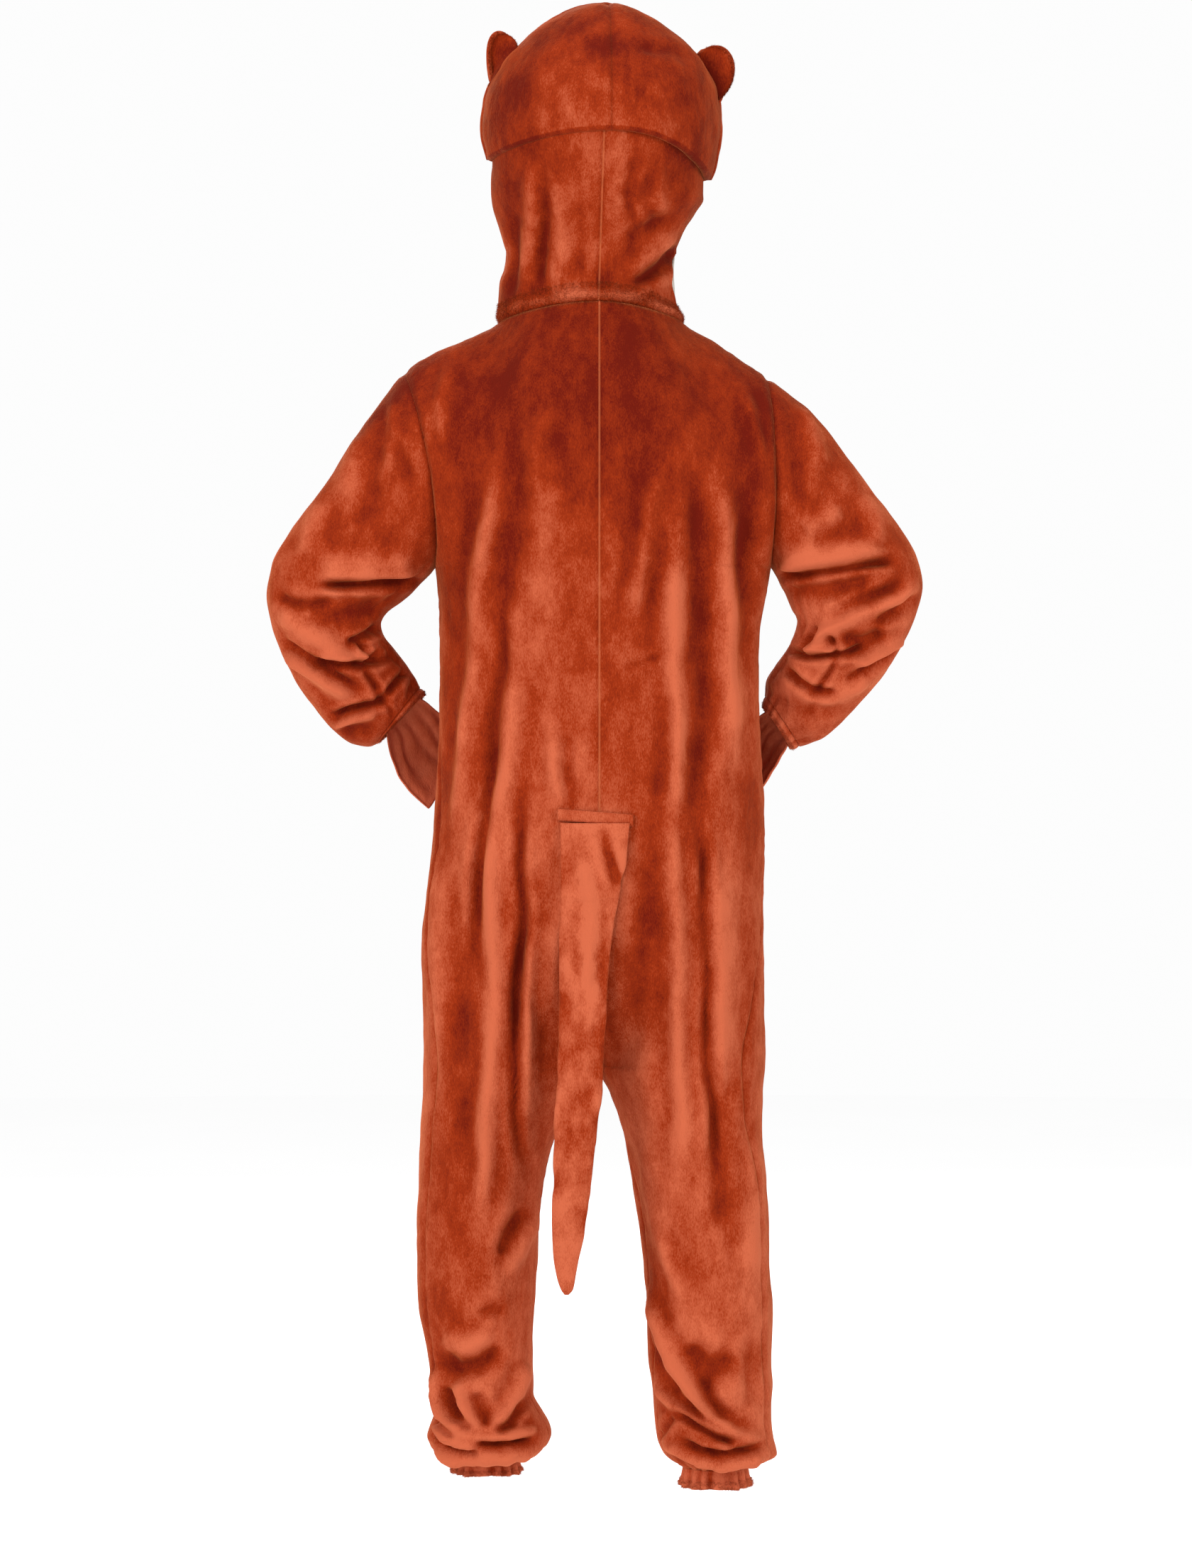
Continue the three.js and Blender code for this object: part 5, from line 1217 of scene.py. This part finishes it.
def crown_point(side, turn, lift):
    """Turn 90 is the centre back and 0 the side; lift is the elevation angle."""
    turn, lift = np.broadcast_arrays(np.asarray(turn, float), np.asarray(lift, float))
    sine = np.sin(np.radians(turn))
    cosine = np.clip(np.cos(np.radians(lift)), 0, 1)
    shift = CROWN_SEAM_SHIFT * sine * sine * cosine**CROWN_SHIFT_POWER
    x = side.crown_width(lift) * np.cos(np.radians(turn)) + (CROWN["x"] + shift) * side.sign
    return points(x, CROWN["back"] * sine * cosine, CROWN["z"] + CROWN["rise"] * np.sin(np.radians(lift)))


def crown_seam_z(side, turn):
    sine = np.maximum(np.sin(np.radians(turn)), 0)
    return mix(CROWN_SEAM_SIDE_Z[side.name], CROWN_SEAM_BACK_Z, sine * sine)


def curled(outer, normals, radius):
    """Adds rows that roll the grid's last edge inwards."""
    along = unit(outer[-1] - outer[-3])
    rows = []
    turned = []
    for angle in np.linspace(0, np.radians(CURL_TURN), CURL_ROWS + 1)[1:]:
        rows.append(outer[-1] + along * radius * np.sin(angle) - normals[-1] * radius * (1 - np.cos(angle)))
        turned.append(unit(normals[-1] * np.cos(angle) + along * np.sin(angle)))
    return np.concatenate([outer, rows]), np.concatenate([normals, turned])


def hood_ripple(world):
    waves = 2.0 * noise(world, (52, 52, 60)) + 1.0 * noise(world + 70, (24, 24, 28))
    return waves + 0.5 * noise(world, (11, 11, 11))


def add_crown(side):
    up = np.linspace(0.004, 1, 62)[:, None]
    across = np.linspace(0, 1, 62)[None, :]
    turn = 90 * (1 - across)
    start = np.degrees(np.arcsin((crown_seam_z(side, turn) - CROWN["z"]) / CROWN["rise"]))
    base = crown_point(side, turn, mix(90, start, up))
    normals = grid_normals(base, 1)
    normals[:, 0, 0] = 0
    normals[:, -1, 1] = 0
    normals = unit(mix(np.array([0.0, 0, 1]), unit(normals), smooth(up[..., None] / 0.08)))
    world = mirrored(side, base)
    at_top = smooth(up / 0.05)
    centre = seam_dip(apart(base, base[:, :1]), world, HOOD_SEAM_DIP) * at_top
    front = seam_dip(apart(base, base[:, -1:]), world, BROW_SEAM_DIP) * at_top
    lift = hood_ripple(world) * smooth(up / 0.1)
    lift += centre + front
    lift += 2.5 * smooth((up - 0.86) / 0.14)
    if side.name == "right":
        lift += fold_height(CROWN_CREASE, world)
    outer = base + normals * lift[..., None]
    outer, normals = curled(outer, normals, CROWN_CURL)
    # Painted shade and highlight from the heights; the rolled edge is painted darker as shade.
    nap = np.concatenate([lift, np.tile(lift[-1:] - 6, (CURL_ROWS, 1))])
    side_piece(side, "hood_crown", outer, normals, 1, RUST_HOOD, nap=nap)


def add_brow():
    """Runs over the head from cheek to cheek, from the crown to the edge of the face opening."""
    forward = np.linspace(0, 1, 31)[:, None]
    across = np.linspace(0, 1, 121)[None, :]
    outward = np.abs(1 - 2 * across)
    turn = mix(BROW_TURN_TOP, BROW_TURN_SIDE, outward * outward) * forward
    cosine = np.cos(np.radians(turn))
    low = np.where(across <= 0.5, CROWN_SEAM_SIDE_Z["left"], CROWN_SEAM_SIDE_Z["right"])
    start = np.degrees(np.arcsin((low - CROWN["z"]) / CROWN["rise"] / cosine))
    lift_angle = mix(90, start, outward)
    width = np.where(across <= 0.5, SIDES[0].crown_width(lift_angle), -SIDES[1].crown_width(lift_angle))
    z = CROWN["z"] + CROWN["rise"] * np.sin(np.radians(lift_angle)) * cosine
    base = points(CROWN["x"] + width * cosine, -CROWN["front"] * np.sin(np.radians(turn)), z)
    normals = grid_normals(base, 1)
    normals[0, :, 1] = 0
    normals = unit(normals)
    from_crown = apart(base, base[:1])
    lift = hood_ripple(base) * smooth(forward * 4) + seam_dip(from_crown, base, BROW_SEAM_DIP)
    lift += 4.0 * bump(from_crown - 13, 10) * smooth(from_crown / 6)
    outer = base + normals * lift[..., None]
    outer, normals = curled(outer, normals, BROW_CURL)
    # Painted shade and highlight from the heights; the rolled edge is painted darker as shade.
    nap = np.concatenate([lift, np.tile(lift[-1:] - 4, (CURL_ROWS, 1))])
    cloth_piece("hood_brow", outer, normals, 1, RUST_HOOD, nap=nap)


NECK_FOLDS = {
    "left": [
        (7, 5, (84, 170), (82, 100), (92, 30)),
        (6, -5, (68, 180), (66, 110), (74, 20)),
        (7, 4, (48, 150), (46, 90), (52, 14)),
        (6, -4, (100, 120), (102, 70), (104, 10)),
        (6, -3, (24, 170), (22, 100), (28, 20)),
    ],
    "right": [
        (7, -7, (-94, 76), (-72, 50), (-38, 26)),
        (8, 6, (-90, 94), (-64, 70), (-30, 44)),
        (7, -5, (-92, 118), (-60, 96), (-26, 78)),
        (7, 5, (-60, 30), (-40, 14), (-16, 10)),
        (7, 4, (-70, 170), (-74, 130), (-84, 100)),
        (6, -4, (-40, 180), (-36, 130), (-46, 90)),
    ],
}


def neck_grid(side, down, across):
    down, across = np.broadcast_arrays(down, across)
    z = mix(CROWN_SEAM_BACK_Z, NECK_SIDE_Z, down)
    turn = np.zeros_like(z)
    for _ in range(12):
        turn = mix(90, side.neck_edge(z), across)
        z = mix(crown_seam_z(side, turn) + 5, neckline_z(turn), down)
    base = neck_point(side, turn, z)
    sine = np.maximum(np.sin(np.radians(turn)), 0)
    seam = mix(NECK_SEAM_SHIFT["top"], NECK_SEAM_SHIFT["bottom"], down)
    base[..., 0] -= seam * side.sign * sine * sine
    return base


def add_neck(side):
    down = np.linspace(0, 1, 70)[:, None]
    across = np.linspace(0, 1, 56)[None, :]
    base = neck_grid(side, down, across)
    normals = grid_normals(base, 1)
    normals[:, 0, 0] = 0
    normals = unit(normals)
    world = mirrored(side, base)
    fade = smooth(down / 0.08) * smooth((1 - down) / 0.05)
    lift = (fold_height(NECK_FOLDS[side.name], world) * smooth(base[..., 1] / 20) + hood_ripple(world)) * fade
    lift += seam_dip(apart(base, base[:, :1]), world, HOOD_SEAM_DIP) * fade
    from_neckline = apart(base, base[-1:])
    uneven = 2.2 * noise(world, (22, 22, 22)) + 1.0 * noise(world + 30, (9, 9, 9))
    roll = (4.6 + uneven) * mix(0.3, 1, smooth(base[..., 1] / 50))
    lift += roll * bump(from_neckline - 8, 7) * smooth(from_neckline / 5)
    lift += 1.5 * bump(apart(base, base[:, -1:]) - 5, 4) * fade
    outer = base + normals * lift[..., None]
    # Painted shade and highlight from the heights, with a painted highlight along the neckline roll.
    nap = lift + 5 * bump(from_neckline - 9, 9) * smooth(from_neckline / 4)
    side_piece(side, "hood_neck", outer, normals, 1, RUST_HOOD_SEAMED, nap=nap)


def add_throat():
    """The cream piece between the two neck pieces, from the neckline up to the chin."""
    left, right = SIDES
    down = np.linspace(0, 1, 41)[:, None]
    across = np.linspace(0, 1, 61)[None, :]
    outward = 1 - 2 * across
    top = mix(CHIN_Z, CHIN_CORNER_Z, outward * outward)
    z = mix(top, NECK_SIDE_Z, down)
    turn = np.zeros_like(z)
    for _ in range(12):
        turn = mix(left.neck_edge(z), -180 - right.neck_edge(z), across)
        z = mix(top, neckline_z(turn), down)
    on_left = neck_point(left, turn, z)
    on_right = mirrored(right, neck_point(right, -180 - turn, z))
    base = np.where(turn[..., None] > -90, on_left, on_right)
    normals = grid_normals(base, 1)
    fade = smooth((1 - down) / 0.1)
    lift = hood_ripple(base) * fade + 1.5 * bump(apart(base, base[:1]) - 5, 4)
    outer = base + normals * lift[..., None]
    # The heights also paint shade and highlight on the cream.
    cloth_piece("hood_throat", outer, normals, 1, CREAM, slot="cream_plush", nap=lift)


def add_ear(side):
    """A cupped lobe of two layers with a rolled rim."""
    ear = EARS[side.name]
    across = np.linspace(0, 1, 49)[None, :]
    up = np.linspace(0, 1, 33)[:, None]
    turn = EAR_TURN + 2.5 * np.sin(np.pi * across)
    base = crown_point(side, turn, mix(ear["top_lift"], ear["low_lift"], across))
    along = base[0, -1] - base[0, 0]
    outward = unit(np.array([-along[2], 0.0, along[0]]))
    profile = np.maximum(np.sin(np.pi * across ** ear["skew"]), 0.05) ** ear["point"]
    fan = np.radians(mix(EAR_FAN["top"], EAR_FAN["low"], across)) + math.atan2(outward[2], outward[0])
    upwards = points(np.cos(fan), 0, np.sin(fan))
    middle = base - outward * 2.5 + upwards * ((ear["height"] + 2) * profile * up)[..., None]
    middle[..., 1] += ear["lean"] * (up + 0 * across)
    cup = ear["cup"] * (1 - (2 * across - 1) ** 2) * np.sin(np.pi * np.clip(up, 0, 1)) ** 0.8
    middle[..., 1] -= cup
    normals = grid_normals(middle, -1)
    edge = np.minimum(np.minimum(across, 1 - across) * 2, (1 - up)) + 0 * across
    half = 3.4 * np.sqrt(np.clip(edge / 0.12, 0.03, 1)) + 1.2 * bump(edge - 0.12, 0.08)
    place = mirrored(side, middle)
    half = half + 0.5 * noise(place, (7, 7, 7)) * np.clip(edge * 8, 0, 1)
    outer = middle + normals * half[..., None]
    # Painted shade at the ear's base and painted light towards its top, with a painted highlight along its
    # rim.
    nap = mix(-6, 5, up) + 3 * bump(edge, 0.2)
    side_piece(side, "ear", outer, normals, -1, RUST, thickness=2 * half, fullness=1.1, nap=nap)


# Tail


TAIL = curves_of(TAIL_SECTIONS, "z")
TAIL_ROWS = 190
TAIL_COLUMNS = 72
TAIL_FOLDS = [
    (7, -5, (3, -606), (-14, -650), (-28, -690)),
    (8, 4, (20, -640), (8, -720), (14, -820)),
]


def back_surface(x, z):
    """Height of the back panels' base form at a place seen from behind."""
    low = np.full(np.broadcast(x, z).shape, 0.3)
    high = np.ones_like(low)
    left = np.asarray(x) >= 0
    for _ in range(30):
        share = (low + high) / 2
        reach = np.where(left, *[body_point(side, share, z)[..., 0] for side in SIDES])
        low = np.where(reach > np.abs(x), share, low)
        high = np.where(reach > np.abs(x), high, share)
    y = np.where(left, *[body_point(side, low, z)[..., 1] for side in SIDES])
    place = points(x, y, z)
    return y + fold_height(BACK_FOLDS, place) + ripple(place)


def add_tail():
    """A flat filled tube that hangs from its casing over the seat, puckered along its middle."""
    t = np.linspace(0, 1, TAIL_ROWS)
    crowd = np.maximum(t - 0.8, 0) * (1 - t) * 1.5
    z = mix(TAIL_SECTIONS["z"][0], TAIL_SECTIONS["z"][-1], t + crowd)[:, None]
    turn = np.linspace(0, 2 * np.pi, TAIL_COLUMNS + 1)[:-1][None, :]
    left = TAIL["left"](z)
    half = (left - TAIL["right"](z)) / 2
    middle = (left + TAIL["right"](z)) / 2
    x = middle + half * signed_power(np.cos(turn), 0.9)
    seat = np.maximum(back_surface(left, np.maximum(z, SEAT_Z)), TAIL_HANG_Y)
    near = np.where(z > SEAT_Z, seat, TAIL_HANG_Y) + 0.4
    y = near + TAIL["thick"](z) / 2 * (1 + signed_power(np.sin(turn), 0.8))
    base = points(x, y, z)
    normals = grid_normals(base, -1, ring=True)
    middle_length = smooth((-700 - z) / 80) * smooth((z + 1120) / 60)
    puckers = 2.2 * noise(base, (17, 17, 24)) + 1.1 * noise(base + 60, (8, 8, 12))
    lift = puckers * (0.35 + 0.65 * middle_length) * smooth(np.abs(np.sin(turn)) * 3)
    lift -= 1.8 * bump(np.sin(turn) * 30, 7) * smooth((1 - t[:, None]) * 6)
    lift += fold_height(TAIL_FOLDS, base)
    lift = lift * smooth((1 - t[:, None]) * 9) * smooth(0.2 + t[:, None] * 9)
    outer = base + normals * lift[..., None]
    places = outer.reshape(-1, 3)
    faces = grid_faces(TAIL_ROWS, TAIL_COLUMNS, True)[:, [0, 3, 2, 1]].tolist()
    for row, at_end in ((0, False), (TAIL_ROWS - 1, True)):
        ring = row * TAIL_COLUMNS + np.arange(TAIL_COLUMNS)
        following = np.roll(ring, -1)
        pair = (ring, following) if at_end else (following, ring)
        faces += np.stack([*pair, np.full(TAIL_COLUMNS, len(places))], -1).tolist()
        places = np.concatenate([places, outer[row].mean(0)[None]])
    # The puckers and folds paint shade in their hollows and highlight on their crests; the two end points are
    # left level.
    nap = np.concatenate([lift.reshape(-1) * 2.6, np.zeros(2)])
    obj = mesh_object("tail_plush", places, faces, RUST_TAIL, marks={"nap": nap})
    finish_piece(obj, "tail")


def add_casing():
    """The strip across the centre seam that the tail hangs from."""
    down = np.linspace(0, 1, 13)[:, None]
    across = np.linspace(0, 1, 61)[None, :]
    x = mix(CASING["left"], CASING["right"], across) + 0 * down
    z = mix(CASING["top_left"], CASING["top_right"], across) - CASING["height"] * down
    y = back_surface(x, z) + 3.2
    base = points(x, y, z)
    swell = 3.2 * np.sqrt(np.clip(1 - (2 * down - 0.9) ** 2, 0, 1)) + 0.7 * noise(base, (8, 8, 8))
    outer = base + points(0, swell, 0)
    normals = points(0 * x, 1, 0)
    cloth_piece("tail_casing", outer, normals, -1, RUST, thickness=3 + swell * 0.5, held="folded")


for side in SIDES:
    for add in (add_body, add_hem, add_sleeve, add_cuff, add_paw_flap, add_crown, add_neck, add_ear):
        add(side)
add_placket()
add_brow()
add_throat()
add_tail()
add_casing()

# Loose pile along the furry edges


LONG_TUFT = 3.4
SHORT_TUFT = 2.4
TUFT_WIDTH = 0.55


def add_pile(name, strip, outward, count, seed, material, length):
    """Thin three-sided tufts over a strip of surface, joined into one mesh."""
    rng = np.random.default_rng(seed)
    rows, columns = strip.shape[:2]
    r = rng.uniform(0, rows - 1.001, count)
    c = rng.uniform(0, columns - 1.001, count)
    low_r = r.astype(int)
    low_c = c.astype(int)
    part_r = (r - low_r)[:, None]
    part_c = (c - low_c)[:, None]

    def between(grid):
        upper = mix(grid[low_r, low_c], grid[low_r, low_c + 1], part_c)
        lower = mix(grid[low_r + 1, low_c], grid[low_r + 1, low_c + 1], part_c)
        return mix(upper, lower, part_r)

    root = between(strip)
    out = unit(between(outward))
    lean = unit(out + 0.75 * rng.normal(size=(count, 3)) + np.array([0, 0, -0.45]))
    side_way = unit(np.cross(lean, rng.normal(size=(count, 3))))
    other_way = np.cross(lean, side_way)
    tall = length * rng.uniform(0.6, 1.15, (count, 1))
    corners = []
    for turn in np.radians([0, 120, 240]):
        sideways = np.cos(turn) * side_way + np.sin(turn) * other_way
        corners.append(root - out * 0.5 + TUFT_WIDTH / 2 * sideways)
    corners.append(root + lean * tall)
    places = np.stack(corners, 1).reshape(-1, 3)
    start = 4 * np.arange(count)[:, None, None]
    faces = (start + np.array([[0, 1, 3], [1, 2, 3], [2, 0, 3], [2, 1, 0]])).reshape(-1, 3)
    # The tufts are drawn slightly lighter, a painted highlight on the loose pile.
    obj = mesh_object(name, places, faces, material, marks={"nap": np.full(len(places), 2.0)})
    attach(obj, "root")


# Name, the piece that carries it, its first row there, how many tufts, the seed and their length
PILES = (
    ("neckline", "hood_neck", -9, 3600, 20, LONG_TUFT),
    ("hem", "hem_ruffle", 9, 3000, 30, LONG_TUFT),
    ("ear", "ear", -6, 1500, 40, SHORT_TUFT),
    ("cuff", "cuff", -6, 1800, 50, SHORT_TUFT),
)
for number, side in enumerate(SIDES):
    pile_materials = {"hem": RUST, "cuff": RUST_SLEEVE[side.name]}
    for edge, piece, first_row, count, seed, length in PILES:
        strip, outward = [face[first_row:] for face in FACES[f"{piece}_{side.name}"]]
        material = pile_materials.get(edge, RUST_HOOD)
        add_pile(f"{edge}_pile_{side.name}", strip, outward, count, seed + number, material, length)

# Floor, lights and camera

FLOOR_Z = -1.496
FLOOR_RADIUS = 9
FLOOR_SIDES = 96
FLOOR_GREYS = (0.48, 0.48, 0.48, 1), (0.52, 0.52, 0.52, 1)
FLOOR_GLOW = 0.74
CAMERA_PLACE = (0.004, 6.0, -0.565)
CAMERA_ANGLE = math.radians(17.79)


def floor_material():
    material = bpy.data.materials.new("pale floor")
    material.use_nodes = True
    tree = material.node_tree
    shader = tree.nodes["Principled BSDF"]
    place = node(tree, "ShaderNodeTexCoord").outputs["Object"]
    grain = noise_node(tree, place, 3.0, 4.0)
    tree.links.new(mixed(tree, grain, *FLOOR_GREYS), shader.inputs["Base Color"])
    shader.inputs["Roughness"].default_value = 0.75
    shader.inputs["Emission Color"].default_value = (1, 1, 1, 1)
    shader.inputs["Emission Strength"].default_value = FLOOR_GLOW
    return material


def add_floor():
    turn = np.linspace(0, 2 * np.pi, FLOOR_SIDES + 1)[:-1]
    rim = points(FLOOR_RADIUS * np.cos(turn), FLOOR_RADIUS * np.sin(turn), FLOOR_Z)
    mesh = bpy.data.meshes.new("floor")
    mesh.from_pydata(rim.tolist(), [], [list(range(FLOOR_SIDES))])
    mesh.materials.append(floor_material())
    obj = bpy.data.objects.new("floor", mesh)
    bpy.context.collection.objects.link(obj)


MIDDLE = (0.0, 0.0, -0.55)
# Name, place, size and power
LIGHTS = (
    ("left softbox", (3.6, 3.6, 1.6), 2.2, 136),
    ("right softbox", (-3.8, 3.2, 1.3), 2.2, 110),
    ("top softbox", (0.2, 0.6, 3.4), 2.2, 70),
    ("far softbox", (0.6, -4.4, 1.6), 2.6, 150),
    ("low softbox", (1.4, 5.0, -0.3), 1.6, 45),
)


def add_light(name, place, size, power):
    data = bpy.data.lights.new(name, "AREA")
    data.shape = "DISK"
    data.size = size
    data.energy = power
    obj = bpy.data.objects.new(name, data)
    obj.location = place
    obj.rotation_euler = (Vector(MIDDLE) - Vector(place)).to_track_quat("-Z", "Y").to_euler()
    bpy.context.collection.objects.link(obj)


def add_camera():
    data = bpy.data.cameras.new("camera")
    data.sensor_fit = "VERTICAL"
    data.angle = CAMERA_ANGLE
    obj = bpy.data.objects.new("camera", data)
    obj.location = CAMERA_PLACE
    obj.rotation_euler = (math.radians(90), 0, math.radians(180))
    bpy.context.collection.objects.link(obj)
    bpy.context.scene.camera = obj


add_floor()
add_camera()
for light in LIGHTS:
    add_light(*light)

AMBIENT = 0.38
BACKDROP = 0.98


def add_world():
    """Soft even light, and a pale backdrop where the camera looks past the floor."""
    world = bpy.data.worlds.new("studio")
    world.use_nodes = True
    tree = world.node_tree
    seen = node(tree, "ShaderNodeLightPath").outputs["Is Camera Ray"]
    strength = ranged(tree, seen, 0.0, 1.0, AMBIENT, BACKDROP)
    tree.links.new(strength, tree.nodes["Background"].inputs["Strength"])
    tree.nodes["Background"].inputs["Color"].default_value = (1.0, 1.0, 1.0, 1)
    bpy.context.scene.world = world


add_world()
bpy.context.scene.view_settings.view_transform = "Standard"

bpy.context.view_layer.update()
for name, cut in CUTS.items():
    print("CUT", name, *cut)
